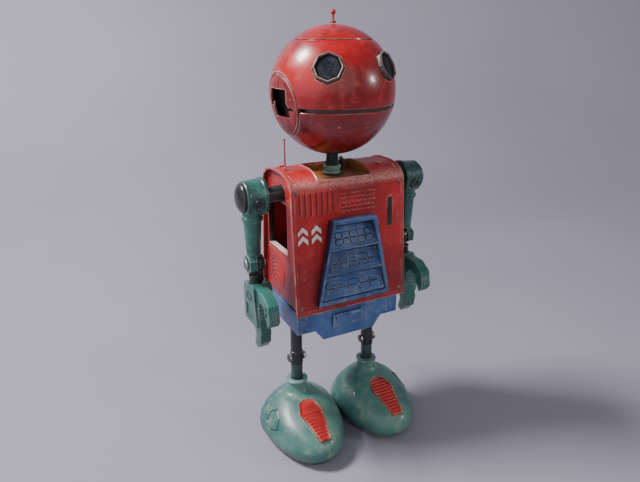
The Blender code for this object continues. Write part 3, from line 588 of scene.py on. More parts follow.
def head():
    inner = HEAD_R - TIN
    cap_h = math.sqrt(HEAD_R ** 2 - CAP_R ** 2)
    band_top, band_low = BAND_Z + BAND_HALF - HEAD.z, BAND_Z - BAND_HALF - HEAD.z

    def axis(side, d):
        return facing((d[0] * side, d[1], d[2]))

    def shell(high, low, shrink=0.0):
        """Upper or lower half of the ball, rolled inwards at both edges."""
        out = ball(HEAD_R - shrink, low + 0.35, high - 0.35)
        back = ball(inner - shrink, high - 0.1, low + 0.1)
        rim_low = (math.sqrt((HEAD_R - shrink) ** 2 - low ** 2) - 0.35, low)
        rim_high = (math.sqrt((HEAD_R - shrink) ** 2 - high ** 2) - 0.35, high)
        return turned([rim_low] + out + [rim_high] + back, HEAD, steps=128)

    def ear_cut(side):
        return rod(EAR_R + SEAM, 20, 32, HEAD, axis(side, EAR_TILT), 96)

    def eye_cut(side):
        return rod(EYE_R + SEAM, 22, 34, HEAD, axis(side, EYE_DIR), 8)

    def within(centre, normal):
        return (centre - HEAD).length < HEAD_R - 0.7

    # the insides of the shells are painted near-black as shadow
    piece("head_upper_shell", shell(cap_h - 0.3, band_top), RED_HEAD, "head", ["head_upper"],
          lining=(SHADOW, within), cuts=[ear_cut(-1), ear_cut(1), eye_cut(-1), eye_cut(1)])
    piece("head_lower_shell", shell(band_low, -29.3, 0.25), RED_HEAD, "head", ["head_lower"],
          lining=(SHADOW, within), cuts=[ear_cut(-1), ear_cut(1), rod(LEG_R + 0.4, -32, -24, HEAD)])
    flats = [rod(25, 23.3, 40, HEAD, axis(side, EAR_TILT), 64) for side in (-1, 1)]
    rim, hub = HEAD_R - 1.4, HEAD_R - 7
    washer = turned([(rim, band_low + 0.1), (rim + 0.2, 0.5 * (band_low + band_top)), (rim, band_top - 0.1),
                     (hub, band_top - 0.1), (hub, band_low + 0.1)], HEAD, steps=96)
    piece("mouth_groove", washer, BROWN, "head", ["mouth_band"], cuts=flats)

    # crown cap: a pressed disc with a rolled rim and a shallow step round the finial
    crown = [(0, HEAD_R - 0.25), (2.6, HEAD_R - 0.28), (3.0, HEAD_R - 0.12)]
    crown += arc(HEAD_R, 83.2, math.degrees(math.asin((cap_h + 0.25) / HEAD_R)), 14)
    crown += [(CAP_R - 0.25, cap_h - 0.1), (CAP_R - 0.9, cap_h - 0.35)]
    crown += arc(inner, 52, 84, 8) + [(0, inner)]
    piece("crown_cap", turned(crown, HEAD, steps=128), RED_HEAD, "head", ["head_cap"])
    stalk = [(0, 30.25), (1.3, 30.3), (1.45, 30.7), (1.3, 31.1), (0.75, 31.35), (0.5, 31.8), (0.45, 33.8)]
    stalk += arc(1.2, -66, 88, 14, (0, 35.0)) + [(0, 36.2)]
    piece("finial", turned(stalk, HEAD, steps=32), RED, "head", ["head_antenna"])

    for side, name in SIDES:
        tilt = axis(side, EAR_TILT)
        rim = math.degrees(math.acos(EAR_R / HEAD_R))
        out = arc(HEAD_R, 88, rim + 2.6, 22)
        edge = math.sqrt(HEAD_R ** 2 - EAR_R ** 2)
        bead = [(EAR_R - 0.9, edge + 0.28), (EAR_R - 0.35, edge + 0.45), (EAR_R, edge + 0.1),
                (EAR_R - 0.1, edge - 0.4)]
        ear = [(0, HEAD_R)] + out + bead + arc(inner, rim + 1.5, 86, 12) + [(0, inner)]
        low, high = sorted((20 * side, 32 * side))
        cuts = [block((low, -9.0, 181.0), (high, 5.5, 188.6)), block((low, -9.6, 176.2), (high, 2.6, 182.0)),
                block((low, -12.4, 179.3), (high, -5.0, 180.9))]
        # the inside of the ear disc is painted near-black as shadow
        piece(f"ear_disc_{name}", turned(ear, HEAD, tilt, 128), RED_EAR_DUST_SHEEN, "head", [f"ear_{name}"],
              cuts=[union(*cuts)], lining=(SHADOW, within))
        # black ring in the seam round the ear, and a near-black disc behind the ear's window as painted
        # shadow
        seam = turned([(EAR_R + 0.02, edge - 1.4), (EAR_R + 0.33, edge - 1.4), (EAR_R + 0.33, edge - 0.35),
                       (EAR_R + 0.02, edge - 0.35)], HEAD, tilt, 96)
        piece(f"ear_seam_{name}", seam, BLACK, "head")
        well = turned([(0, 24.3), (13.4, 24.3), (13.4, 24.6), (0, 24.6)], HEAD, tilt, 64)
        piece(f"ear_well_{name}", well, SHADOW, "head")
        rivet = [(0, 0.55), (0.35, 0.5), (0.62, 0.3), (0.75, 0), (0, -0.6)]
        for y, z in ((-1.0, 191.0), (-11.6, 184.6), (8.6, 187.4), (6.2, 175.6)):
            d = Vector((side * math.sqrt(HEAD_R ** 2 - y * y - (z - HEAD.z) ** 2), y, z - HEAD.z))
            piece(f"ear_rivet_{name}_{round(z)}_{'f' if y < 0 else 'b'}",
                  turned(rivet, HEAD + d * 0.985, facing(d), 20), BEZEL, "head")

        look = axis(side, EYE_DIR)
        seat = LENS_R + 0.25
        bezel = [(seat, 27.4), (EYE_R, 27.4), (EYE_R, 30.7), (EYE_R - 0.2, 31.0), (seat + 0.75, 31.38),
                 (seat + 0.45, 31.38), (seat, 30.7)]
        piece(f"eye_rim_{name}", turned(bezel, HEAD, look, 8), BEZEL, "head", [f"eye_bezel_{name}"],
              bevel=0.14, segments=3)
        lens = [(0, 28.4), (LENS_R, 28.4), (LENS_R, 30.0), (LENS_R - 0.35, 30.35), (0, 30.62)]
        piece(f"eye_glass_{name}", turned(lens, HEAD, look, 8), LENS, "head", [f"eye_lens_{name}"],
              bevel=0.12)


def union(*parts):
    """One closed solid out of overlapping ones."""
    tools = [mesh_object("tool", bm) for bm in parts]
    base = tools[0]
    for other in tools[1:]:
        join = base.modifiers.new("join", "BOOLEAN")
        join.operation = "UNION"
        join.object = other
    clean(base)
    bm = bmesh.new()
    bm.from_mesh(base.data)
    bmesh.ops.scale(bm, vec=(1 / MM,) * 3, verts=bm.verts)
    for tool in tools:
        bpy.data.objects.remove(tool)
    return bm


# ---- torso -----------------------------------------------------------------------------------
def torso_path(inset=0.0, steps=40):
    """Side profile of the tapering arched torso as (y, z) points, up the front and down the back."""
    half = [(BOTTOM_DEPTH - inset, TORSO_BOTTOM)]
    for i in range(steps + 1):
        a = pi / 2 * i / steps
        reach = FLAT_TOP + (TOP_DEPTH - FLAT_TOP - inset) * cos(a)
        half.append((reach, SPRING + (ARCH_H - inset) * sin(a)))
    front = [(TORSO_Y - y, z) for y, z in half]
    back = [(TORSO_Y + y, z) for y, z in half[::-1]]
    return np.array(front + back)


PATH = torso_path()
PATH_S = np.concatenate([[0], np.cumsum(np.hypot(*np.diff(PATH, axis=0).T))])
FRONT_S = PATH_S[1]


def along(s):
    return np.interp(s, PATH_S, PATH[:, 0]), np.interp(s, PATH_S, PATH[:, 1])


def s_at_y(y):
    """Distance along the arch where it passes over a given y on its top."""
    top = (PATH[:, 1] > SPRING)
    return float(np.interp(y, PATH[top][:, 0], PATH_S[top]))


def s_at_front(z):
    return (z - TORSO_BOTTOM) / (SPRING - TORSO_BOTTOM) * FRONT_S


def torso_surface(x, s):
    return np.stack([x, *along(s)], axis=-1)


ARBOR_HOLE = 2.1
HEM, DENT = 1.15, 0.45
RIBS, RIB_X, RIB_PITCH, RIB_Z = 8, -28.3, 2.9, (131.4, 143.0)
SLOT_X, SLOT_Z = 22.8, (120.6, 135.6)
OPEN_X = (-15.7, 13.2)
OPEN_S = (s_at_y(-16.2), s_at_y(9.0))


def torso_press(x, s):
    """What is pressed into the tin: hems, ribs, dashes, the slot, and the back's border and bars."""
    total = PATH_S[-1]
    side = TORSO_W - np.abs(x)
    h = -DENT * np.ones_like(x)
    h += plateau(side - HEM, 0.45, 0.50)
    h += plateau(np.minimum(s, total - s) - 1.1, 0.5, 0.52)
    ribs = [s_at_front(z) for z in RIB_Z]
    for i in range(RIBS):
        centre = RIB_X + RIB_PITCH * i
        d = box_distance(x, s, (centre, (ribs[0] + ribs[1]) / 2), (0.72, (ribs[1] - ribs[0]) / 2), 0.7)
        h += plateau(d, 0.55, DENT)
    for row in range(6):
        for col in range(7):
            at = (-4.2 + 2.8 * col + 0.5 * (row % 2), s_at_front(142.4 - 2.2 * row))
            h += plateau(box_distance(x, s, at, (0.85, 0.28), 0.25), 0.35, 0.32)
            h -= plateau(box_distance(x, s, (at[0] + 0.2, at[1] + 0.85), (0.75, 0.2), 0.15), 0.3, 0.30)
    slot = [s_at_front(z) for z in SLOT_Z]
    d = box_distance(x, s, (SLOT_X, sum(slot) / 2), (1.35, (slot[1] - slot[0]) / 2), 1.3)
    h += ridge(d - 0.35, 0.55, DENT) - plateau(d + 0.4, 0.45, DENT)
    for i in range(2):
        d = box_distance(x, s, (26.6 + 1.6 * i, sum(slot) / 2), (0.35, (slot[1] - slot[0]) / 2), 0.3)
        h += plateau(d, 0.4, 0.36)
    back = box_distance(x, total - s, (0.0, s_at_front(112)), (24.5, 24.5), 3.0)
    h += ridge(back, 0.8, 0.34)
    for i in range(5):
        d = box_distance(x, total - s, (0.0, s_at_front(92 + 2.8 * i)), (11.0, 0.45), 0.4)
        h += plateau(d, 0.5, 0.3)
    hole = box_distance(x, s, (sum(OPEN_X) / 2, sum(OPEN_S) / 2),
                        ((OPEN_X[1] - OPEN_X[0]) / 2, (OPEN_S[1] - OPEN_S[0]) / 2))
    h += plateau(hole - 0.5, 0.45, DENT)
    return np.minimum(h, 0.0)


def torso():
    xs = lines(-TORSO_W, TORSO_W, 0.42, *OPEN_X)
    ss = lines(0.0, PATH_S[-1], 0.42, FRONT_S, *OPEN_S)

    def keep(x, s):
        return ~((x > OPEN_X[0]) & (x < OPEN_X[1]) & (s > OPEN_S[0]) & (s < OPEN_S[1]))

    sheet = pressed_sheet(torso_surface, xs, ss, torso_press, 0.95, keep)
    arbor = rod(ARBOR_HOLE, 10, 30, (0, 0, 116), "y", 48)

    def sunk(centre, normal):
        """Painted shade: the grooves between the ribs and the dents under the dashes, coloured a darker red.
        """
        x, y, z = centre
        depth = y - torso_front(z)
        grooves = -29.8 < x < -7.2 and 132.0 < z < 142.6 and depth > 0.26
        dents = x < 16 and 126 < z < 142.9 and depth > 0.58
        return y < -10 and (grooves or dents)

    # the grooves and dents get the darker red as painted shade
    piece("torso_wrap", sheet, RED, "torso", ["torso_shell"], angle=28, cuts=[arbor],
          lining=(RED_SHADE, sunk))

    # screws and rivets on the top corners and down the front
    rivet = [(0, 0.5), (0.4, 0.45), (0.75, 0.25), (0.9, 0), (0, -0.7)]
    for i, (x, z) in enumerate(((-28.6, 144.6), (28.4, 143.4), (-28.4, 86.2), (28.4, 86.2))):
        y, top = map(float, along(s_at_front(min(z, SPRING))))
        piece(f"torso_rivet_{i}", turned(rivet, (x, y + 0.15, top), facing((0, -1, 0.05)), 24),
              BEZEL, "torso")
    for i, (x, y) in enumerate(((22.0, -8.6), (-25.0, 6.6))):
        y, top = map(float, along(s_at_y(y)))
        head = rod(1.7, -0.8, 0.35, (x, y, top), "z", 40, edge=0.18)
        slot_cut = block((x - 3, y - 0.22, top + 0.08), (x + 3, y + 0.22, top + 2))
        piece(f"torso_screw_{i}", head, RED, "torso", cuts=[slot_cut])


def torso_slot():
    """A black plate as painted shadow at the bottom of the upright slot beside the rows of dashes."""
    low, high = SLOT_Z[0] + 1.0, SLOT_Z[1] - 1.0
    pill = [(SLOT_X + 0.95 * cos(a), z + 0.95 * sin(a))
            for z, start in ((high, 0), (low, pi)) for a in [start + pi * k / 12 for k in range(13)]]
    loops = [[Vector((x, torso_front(z) + depth, z)) for x, z in pill] for depth in (0.22, 0.75)]
    piece("torso_slot_floor", loft(loops), BLACK, "torso")


def chevrons():
    """Generic stencilled chevrons in two rows and two columns on the chest: thin raised paint."""
    stroke = ((0, 0), (2.6, 2.4), (5.2, 0), (5.2, 2.4), (2.6, 4.8), (0, 2.4))
    for i, left in enumerate((-28.6, -21.4)):
        for row in (0, 1):
            rim = [(left + x, 118.2 + (z + 4.2 * row)) for x, z in stroke]
            low, high = ([Vector((x, float(along(s_at_front(z))[0]) + sunk, z)) for x, z in rim]
                         for sunk in (0.42, 0.20))
            piece(f"chevron_{i}_{row}", slab(low, high), STENCIL, "torso")


WINDOW_Y, WINDOW_Z = (-9.2, 14.2), (109.5, 135.5)


def side_panels():
    """Recessed arched side plates with a framed window, a round grille and the shoulder's hole."""
    for side, name in SIDES:
        ys = lines(-21.4, 19.0, 0.36, *WINDOW_Y)
        zs = lines(83.2, 150.2, 0.36, *WINDOW_Z)
        grille = (4.2, 96.3)

        def surface(y, z, side=side):
            return np.stack([side * np.full_like(y, 29.35), y, z], axis=-1)

        def press(y, z):
            h = np.full_like(y, -0.30)
            window = box_distance(y, z, (sum(WINDOW_Y) / 2, sum(WINDOW_Z) / 2),
                                  ((WINDOW_Y[1] - WINDOW_Y[0]) / 2, (WINDOW_Z[1] - WINDOW_Z[0]) / 2))
            h += plateau(window - 1.0, 0.4, 0.30)
            d = np.hypot(y - grille[0], z - grille[1])
            h += ridge(d - 8.4, 0.9, 0.30)
            curved = z - grille[1] + 0.035 * (y - grille[0]) ** 2
            inside = np.clip((7.4 - d) / 0.8, 0, 1)
            h += inside * (0.5 + 0.5 * np.cos(2 * pi * curved / 2.3)) * 0.60 - 0.40 * inside
            h -= ridge(z - 107.3, 0.35, 0.25) * (np.abs(y) < 17)
            return h

        def keep(y, z):
            climb = np.clip((z - TORSO_BOTTOM) / (SPRING - TORSO_BOTTOM), 0, 1)
            depth = BOTTOM_DEPTH - (BOTTOM_DEPTH - TOP_DEPTH) * climb
            rise = np.clip((z - SPRING) / ARCH_H, 0, 1)
            reach = np.where(z > SPRING, FLAT_TOP + (TOP_DEPTH - FLAT_TOP) * np.sqrt(1 - rise ** 2), depth)
            inside = np.abs(y - TORSO_Y) < reach - HEM
            window = (y > WINDOW_Y[0]) & (y < WINDOW_Y[1]) & (z > WINDOW_Z[0]) & (z < WINDOW_Z[1])
            return inside & ~window & (z < TORSO_TOP - HEM)

        sheet = pressed_sheet(surface, ys, zs, press, 0.9, keep, side)
        hole = rod(4.25, *sorted((side * 20, side * 32)), (0, ARM_Y, SHOULDER[2]), "x", 64)
        piece(f"side_plate_{name}", sheet, RED, "torso", [f"side_panel_{name}"], angle=30,
              cuts=[hole])
        # folded flanges round the window: the sill below painted pale as a highlight, the others painted
        # near-black as shadow
        (y0, y1), (z0, z1) = WINDOW_Y, WINDOW_Z
        for part, low, high, skin in (("sill", (y0, z0 - 0.6), (y1, z0 + 0.1), LIT_SILL_CREAM),
                                      ("front", (y0 - 0.5, z0), (y0 + 0.1, z1), SHADOW),
                                      ("rear", (y1 - 0.1, z0), (y1 + 0.5, z1), SHADOW),
                                      ("head", (y0, z1 - 0.1), (y1, z1 + 0.5), SHADOW)):
            x0, x1 = sorted((side * 26.2, side * 29.3))
            piece(f"window_{part}_{name}", block((x0, *low), (x1, *high)), skin, "torso",
                  bevel=0.12)
        # a pink strip inside the window, painted light as a lit inner wall
        x0, x1 = sorted((side * 24.6, side * 25.2))
        piece(f"window_strip_{name}", block((x0, -9.6, z0 - 1), (x1, -0.6, z1 + 1)), LIT_PINK, "torso",
              bevel=0.15)


HOOK = (8.0, 5.2, 0)


def top_parts():
    """Golden tray round the neck, the neck itself, the whip antenna and the stop lever's hook."""
    low, high = box_mm("top_plate")
    piece("top_tray", block(low, high), GOLD, "torso", ["top_plate"], bevel=0.12,
          cuts=[rod(3.5, 140, 150), rod(1.25, 140, 150, HOOK)])
    # inner walls of the open top
    x0, x1 = OPEN_X
    y0 = float(along(OPEN_S[0])[0])
    y1, z1 = map(float, along(OPEN_S[1]))
    floor = high[2] + 0.05
    ridge_line = [(float(y), float(z) - 1.0) for y, z in (along(s) for s in np.linspace(*OPEN_S, 30))]
    side_wall = [(y0, floor)] + ridge_line + [(y1, floor)]
    walls = [block((x0 + 0.02, y1 - 0.5, floor), (x1 - 0.02, y1 + 0.1, z1 - 0.95)),
             prism(side_wall, x0 - 0.6, x0 - 0.02, "x"), prism(side_wall, x1 + 0.02, x1 + 0.6, "x")]
    for i, wall in enumerate(walls):
        piece(f"top_wall_{i}", wall, GOLD, "torso")

    tube = [(2.2, 140.5), (3.15, 140.5), (3.15, 146.4), (3.05, 146.5), (3.05, 157.4), (3.15, 157.6),
            (3.3, 158.3), (5.0, 158.45), (5.2, 158.75), (5.2, 159.6), (4.9, 160.0), (2.2, 160.0)]
    piece("neck_pipe", turned(tube, steps=64), DARK_TEAL, "torso", ["neck_tube"])
    base = high[2] + 0.3
    collar = [(3.45, base), (4.1, base), (4.5, base + 0.3), (4.5, base + 1.0), (4.2, base + 1.3),
              (4.2, 148.8), (4.5, 149.1), (4.5, 150.1), (4.1, 150.4), (3.45, 150.4)]
    piece("neck_ring", turned(collar, steps=64), PALE_GREEN, "torso", ["neck_collar"])

    aerial = [(0, 151.8), (0.95, 151.8), (0.95, 152.3), (0.5, 152.6), (0.42, 153.5), (0.30, 165.0)]
    aerial += [(0.48, 165.2), (0.48, 165.8), (0.2, 166.0), (0, 166.0)]
    piece("whip_rod", turned(aerial, (-27, -3, 0), steps=24), RED_TOE, "torso", ["whip_antenna"])

    post = [(0, 142.7), (2.0, 142.7), (2.0, 144.6), (0.9, 144.6), (0.9, 152.6), (0.7, 152.8), (0, 152.8)]
    hook = [(-0.9, 0.9), (-1.25, -1.6), (-1.0, -4.0), (-1.25, -5.3), (0.1, -5.5), (0.35, -3.6), (0.3, -1.2),
            (0.95, 0.6)]
    tab = smooth_line([(HOOK[0] + a, HOOK[1] + b, 0) for a, b in hook], 4, True)
    lever = prism([(p.x, p.y) for p in tab], 151.5, 152.4, "z")
    piece("stop_hook", turned(post, HOOK, steps=40), BLACK, "stop_lever", ["stop_lever"],
          joins=[lever], bevel=0.1)


# ---- chest frame and pelvis ------------------------------------------------------------------
FRAME_TOP, FRAME_BOTTOM = 129.0, 86.5
FRAME_TOP_W, FRAME_BOTTOM_W = 11.9, 20.6
FRAME_WALL = 1.7
BLOCKS = 5


def frame_half(z):
    climb = FRAME_TOP_W - FRAME_BOTTOM_W
    return FRAME_BOTTOM_W + climb * (z - FRAME_BOTTOM) / (FRAME_TOP - FRAME_BOTTOM)


def frame_front(z):
    return -24.6 - (FRAME_TOP - z) * 0.03


def torso_front(z):
    return TORSO_Y - BOTTOM_DEPTH + (BOTTOM_DEPTH - TOP_DEPTH) * (z - TORSO_BOTTOM) / (SPRING - TORSO_BOTTOM)


def chest():
    """The trapezoid frame with its left walls painted navy as shade, its three louvres with their pressed
    blocks and navy painted shade in their grooves, and a black backing behind them as painted shadow.
    """
    def outline(inset, y_of, drop=0.0):
        rows = (FRAME_BOTTOM + inset + drop, FRAME_TOP - inset - drop * 0.4)
        lows = [(s * (frame_half(rows[0]) - inset), y_of(rows[0]), rows[0]) for s in (-1, 1)]
        highs = [(s * (frame_half(rows[1]) - inset), y_of(rows[1]), rows[1]) for s in (1, -1)]
        return [Vector(p) for p in lows + highs]

    shell = slab(outline(0, lambda z: torso_front(z) - 0.3), outline(0, frame_front))
    hollow = slab(outline(FRAME_WALL, lambda z: -10.0, 0.5), outline(FRAME_WALL, lambda z: -30.0, 0.5))
    # the frame's left-facing walls are painted navy as shade
    piece("chest_surround", shell, FRAME_BLUE, "torso", ["chest_frame"], cuts=[hollow], bevel=0.32,
          segments=3, lining=(NAVY_SHADE, lambda centre, normal: normal.x < -0.55 and centre.x < 0))
    step = (FRAME_TOP - FRAME_BOTTOM - 4.6) / 3
    for i in range(3):
        bottom = FRAME_BOTTOM + 2.3 + (2 - i) * step + 0.4
        top = bottom + step - 1.0
        w_low, w_high = (frame_half(z) - FRAME_WALL - 0.3 for z in (bottom, top))
        us = lines(-1.0, 1.0, 0.012)
        vs = lines(0.0, 1.0, 0.025)
        y_low, y_high = -25.0, torso_front(top) - 0.4

        def surface(u, v):
            w = w_low + (w_high - w_low) * v
            return np.stack([u * w, y_low + (y_high - y_low) * v, bottom + (top - bottom) * v], axis=-1)

        def press(u, v):
            w = w_low + (w_high - w_low) * v
            x, z = u * w, v * (top - bottom)
            h = np.full_like(u, -0.25)
            h += plateau(z - 0.75, 0.35, 0.25)
            h = h + 0.25 * (z < 0.75)
            pitch = 2 * (w_low - 2.4) / BLOCKS
            for level in (0.30, 0.56):
                for k in range(BLOCKS):
                    at = (-w_low + 2.4 + pitch * (k + 0.5), (top - bottom) * level)
                    d = box_distance(x, z, at, (pitch * 0.38, 1.0), 0.2)
                    h += plateau(d, 0.25, 0.28) - ridge(d - 0.28, 0.3, 0.42)
            h += ridge(z - (top - bottom) * 0.82, 0.4, 0.2)
            return np.minimum(h, 0)

        sheet = pressed_sheet(surface, us, vs, press, 0.95)
        foot = Vector((0, y_low, bottom))
        out = Vector((0, bottom - top, y_high - y_low)).normalized()

        # painted shade: the grooves round the pressed blocks are navy
        def outlined(centre, normal, foot=foot, out=out):
            return -0.80 < (centre - foot).dot(out) < -0.42 and normal.dot(out) > 0.1

        piece(f"louvre_blade_{i + 1}", sheet, BLUE, "torso", [f"louver_{i + 1}"], angle=28,
              lining=(NAVY_SHADE, outlined))
    # black backing seen between the louvres, as painted shadow
    back = slab(outline(FRAME_WALL + 0.1, lambda z: torso_front(z) - 0.02, 0.6),
                outline(FRAME_WALL + 0.1, lambda z: torso_front(z) - 0.25, 0.6))
    piece("chest_shadow_backing", back, BLACK, "torso")


def pelvis():
    """The stepped hip box with its leg collars, front panel and rivets."""
    low, high = box_mm("pelvis_housing")
    half, depth, middle = high[0], (high[1] - low[1]) / 2, (high[1] + low[1]) / 2
    side_z, low_z, top, wall = 70.4, 64.2, 82.1, 1.3

    def outline(inset, lift=0.0):
        a, b = low_z + inset, side_z + inset
        w = half - inset
        return [(-w, top + lift), (-w, b), (-19.5 + inset, b), (-15 + inset, a), (15 - inset, a),
                (19.5 - inset, b), (w, b), (w, top + lift)]

    body = prism(outline(0), middle - depth, middle + depth, "y")
    cavity = prism(outline(wall, 3), middle - depth + wall, middle + depth - wall, "y")
    holes = [rod(LEG_R + 0.35, 60, 75, (s * LEG_X, LEG_Y, 0), "z", 64) for s in (-1, 1)]
    front = middle - depth
    grooves = [block((-24.4, front - 1, 72.2), (-23.9, front + 0.35, 81.0)),
               block((22.6, front - 1, 72.2), (23.1, front + 0.35, 81.0)),
               block((-29, front - 1, 79.2), (-11, front + 0.25, 79.6)),
               block((9, front - 1, 79.2), (29, front + 0.25, 79.6))]
    back = middle + depth
    grooves += [block((x, back - 0.3, 72.6), (x + 19, back + 1, 73.1)) for x in (-22, 3)]
    piece("pelvis_box", body, BLUE, "torso", ["pelvis_housing"], bevel=0.45, segments=3,
          cuts=[cavity, *holes, *grooves])
    bush = LEG_R + 0.35
    for k, side in enumerate((-1, 1)):
        ring = [(bush, 68.4), (4.6, 68.4), (5.0, 68.8), (5.0, 70.2), (bush, 70.2)]
        piece(f"pelvis_collar_{k}", turned(ring, (side * LEG_X, LEG_Y, 0), steps=64), BLUE, "torso",
              bevel=0.12)
    plo, phi = box_mm("pelvis_panel")
    x0, y0, z0 = plo
    x1, _, z1 = phi
    marks = [block((x0 + 0.9, y0 - 1, z0 + 0.9), (x1 - 0.9, y0 + 0.3, z0 + 1.25)),
             block((x0 + 0.9, y0 - 1, z1 - 1.25), (x1 - 0.9, y0 + 0.3, z1 - 0.9)),
             block((x0 + 1.1, y0 - 1, z0 + 1.4), (x0 + 1.8, y0 + 0.9, z1 - 1.2))]
    piece("pelvis_plate", block(plo, phi), BLUE, "torso", ["pelvis_panel"], cuts=marks,
          bevel=0.28, segments=3)
    rivet = [(0, 0.45), (0.4, 0.4), (0.7, 0.2), (0.8, 0), (0, -0.6)]
    for i, (x, z) in enumerate(((-26.6, 75.4), (25.8, 75.4), (-15.4, 68.6), (15.4, 68.6))):
        piece(f"pelvis_rivet_{i}", turned(rivet, (x, front + 0.02, z), facing((0, -1, 0)), 24), BLUE, "torso")


# ---- arms ------------------------------------------------------------------------------------
HAND = [(3.5, 94.5), (-8.0, 96.2), (-18.5, 96.2), (-24.6, 92.4), (-26.2, 84.5), (-23.8, 81.0),
        (-20.6, 84.6), (-19.8, 88.6), (-15.5, 90.6), (-12.0, 88.0), (-12.4, 78.5), (-14.2, 73.0),
        (-13.2, 67.0), (-8.6, 62.2), (-5.6, 63.8), (-7.2, 69.4), (-5.2, 74.6), (3.5, 75.2)]
GAUNTLET = [(4.2, 75.0), (4.2, 93.0), (2.6, 95.4), (-8.2, 96.9), (-9.6, 95.4), (-12.8, 75.6)]


def arms():
    """Both arms: shaft, drum and limb, cap, elbow bolt, forearm and claw hand."""
    for side, name in SIDES:
        arm_body, fore_body = f"arm_{name}", f"forearm_{name}"
        axis = mirror_x(side)
        at = (0, ARM_Y, SHOULDER[2])
        elbow_at = (0, ARM_Y, ELBOW[2])

        def span(a, b, side=side):
            return sorted((side * a, side * b))

        def bar(a, b, low, high):
            """A block from a to b outwards, between two (y, z) corners."""
            x0, x1 = span(a, b)
            return block((x0, *low), (x1, *high))

        shaft = [(0, 22.4), (5.6, 22.4), (5.6, 24.4), (3.8, 24.4), (3.8, 44), (0, 44)]
        piece(f"shaft_{name}", turned(shaft, at, axis, 64), BLACK, arm_body, [f"shoulder_shaft_{name}"],
              bevel=0.12)

        # shoulder drum: rolled rims at both ends, a shallow waist and a round boss in front
        drum = [(4.15, 38.4), (8.3, 38.4), (8.75, 38.55), (9.0, 39.0), (9.0, 40.1), (8.75, 40.4),
                (8.55, 40.8), (8.1, 46.6), (7.95, 47.0), (8.1, 47.3), (8.12, 48.4), (7.7, 48.9),
                (7.2, 49.0), (6.9, 48.7),
                (0, 48.7), (0, 44.35), (4.15, 44.35)]
        limb = [(0, 107.4), (3.0, 107.4), (3.3, 108.4), (4.35, 128.4), (4.95, 128.7), (5.15, 129.3),
                (5.15, 130.3), (4.9, 130.9), (4.6, 131.2), (4.7, 134.5), (0, 134.5)]
        knuckle = rod(4.9, *span(44.4, 48.2), elbow_at, "x", 6, pi / 6)
        arm_cut = [rod(5.6, *span(38, 44.2), elbow_at, "x", 48), rod(1.7, *span(40, 55), elbow_at, "x", 32)]
        piece(f"arm_upper_{name}", turned(drum, at, axis, 96), GREEN, arm_body, [f"upper_arm_{name}"],
              joins=[turned(limb, (side * ARM_X, ARM_Y, 0), steps=48), knuckle], cuts=arm_cut,
              bevel=0.22, segments=3)
        boss = [(0, 7.6), (2.9, 7.6), (2.9, 8.7), (2.5, 9.0), (1.8, 9.0), (1.6, 8.7), (0, 8.7)]
        boss_at = Vector((side * 43.6, ARM_Y, SHOULDER[2]))
        piece(f"shoulder_boss_{name}", turned(boss, boss_at, facing((0, -1, -0.25)), 40), BLACK, arm_body,
              bevel=0.1)
        dome = [(0, 49.3), (6.95, 49.3), (7.0, 49.6), (6.9, 50.0), (6.5, 50.35), (6.0, 50.4), (5.7, 50.6),
                (4.9, 51.3), (3.4, 51.85), (1.8, 52.1), (0, 52.2)]
        piece(f"shoulder_dome_{name}", turned(dome, at, axis, 80), BLACK, arm_body, [f"shoulder_cap_{name}"])
        pin = [(0, 39.4), (2.1, 39.4), (2.4, 39.6), (2.4, 40.2), (1.4, 40.2), (1.4, 48.5), (2.6, 48.5),
               (2.6, 49.1), (2.3, 49.45), (1.5, 49.6), (0, 49.6)]
        piece(f"elbow_bolt_{name}", turned(pin, elbow_at, axis, 48), STEEL, arm_body, [f"elbow_pin_{name}"])

        eye = [(1.7, 40.5), (4.0, 40.5), (4.4, 40.9), (4.4, 43.5), (4.0, 43.9), (1.7, 43.9)]
        wrist_x = side * 44.3
        tube = [(0, 88), (3.3, 88), (3.3, 95.9), (3.15, 96.2), (3.15, 99.7), (3.3, 100.0), (3.3, 100.4),
                (3.0, 100.9), (2.7, 101.1), (0, 101.1)]
        link = bar(40.7, 43.7, (ARM_Y - 2.2, ELBOW[2] - 9), (ARM_Y + 2.2, ELBOW[2] - 2.5))
        piece(f"arm_lower_{name}", turned(eye, elbow_at, axis, 64), BLACK, fore_body, [f"forearm_{name}"],
              joins=[turned(tube, (wrist_x, ARM_Y, 0), steps=64), link], bevel=0.14)

        claw = prism(HAND, *span(41.2, 46.8))
        cuff = prism(GAUNTLET, *span(38.2, 48.2))
        wrist = rod(3.6, 87.7, 110, (wrist_x, ARM_Y, 0), "z", 64)
        recess = [bar(47.5, 50, (-9.6, 77.4), (1.6, 84.6)), bar(46.3, 48, (-24.0, 85.6), (-21.2, 91.2))]
        grooves = [bar(a, a + 0.5, (-27.5, 83.6), (-25.0, 92.6)) for a in (42.3, 43.7, 45.1)]
        teeth = [bar(40, 48, (-14.2, z), (-11.9, z + 0.5)) for z in (79.6, 81.6, 83.6, 85.6)]
        piece(f"claw_{name}", claw, GREEN, fore_body, [f"hand_{name}"], joins=[cuff],
              cuts=[wrist, *recess, *grooves, *teeth], bevel=0.5, segments=3)
        def oval(x, half_y, half_z):
            return [Vector((x, -3.2 + half_y * cos(a), 89.6 + half_z * sin(a)))
                    for a in [2 * pi * i / 48 for i in range(48)]]

        near, far = span(48.15, 48.42)
        rim = slab(oval(near, 3.4, 2.2), oval(far, 3.4, 2.2))
        inside = slab(oval(near - 1, 2.8, 1.65), oval(far + 1, 2.8, 1.65))
        piece(f"hand_ring_{name}", rim, LINE, fore_body, cuts=[inside])


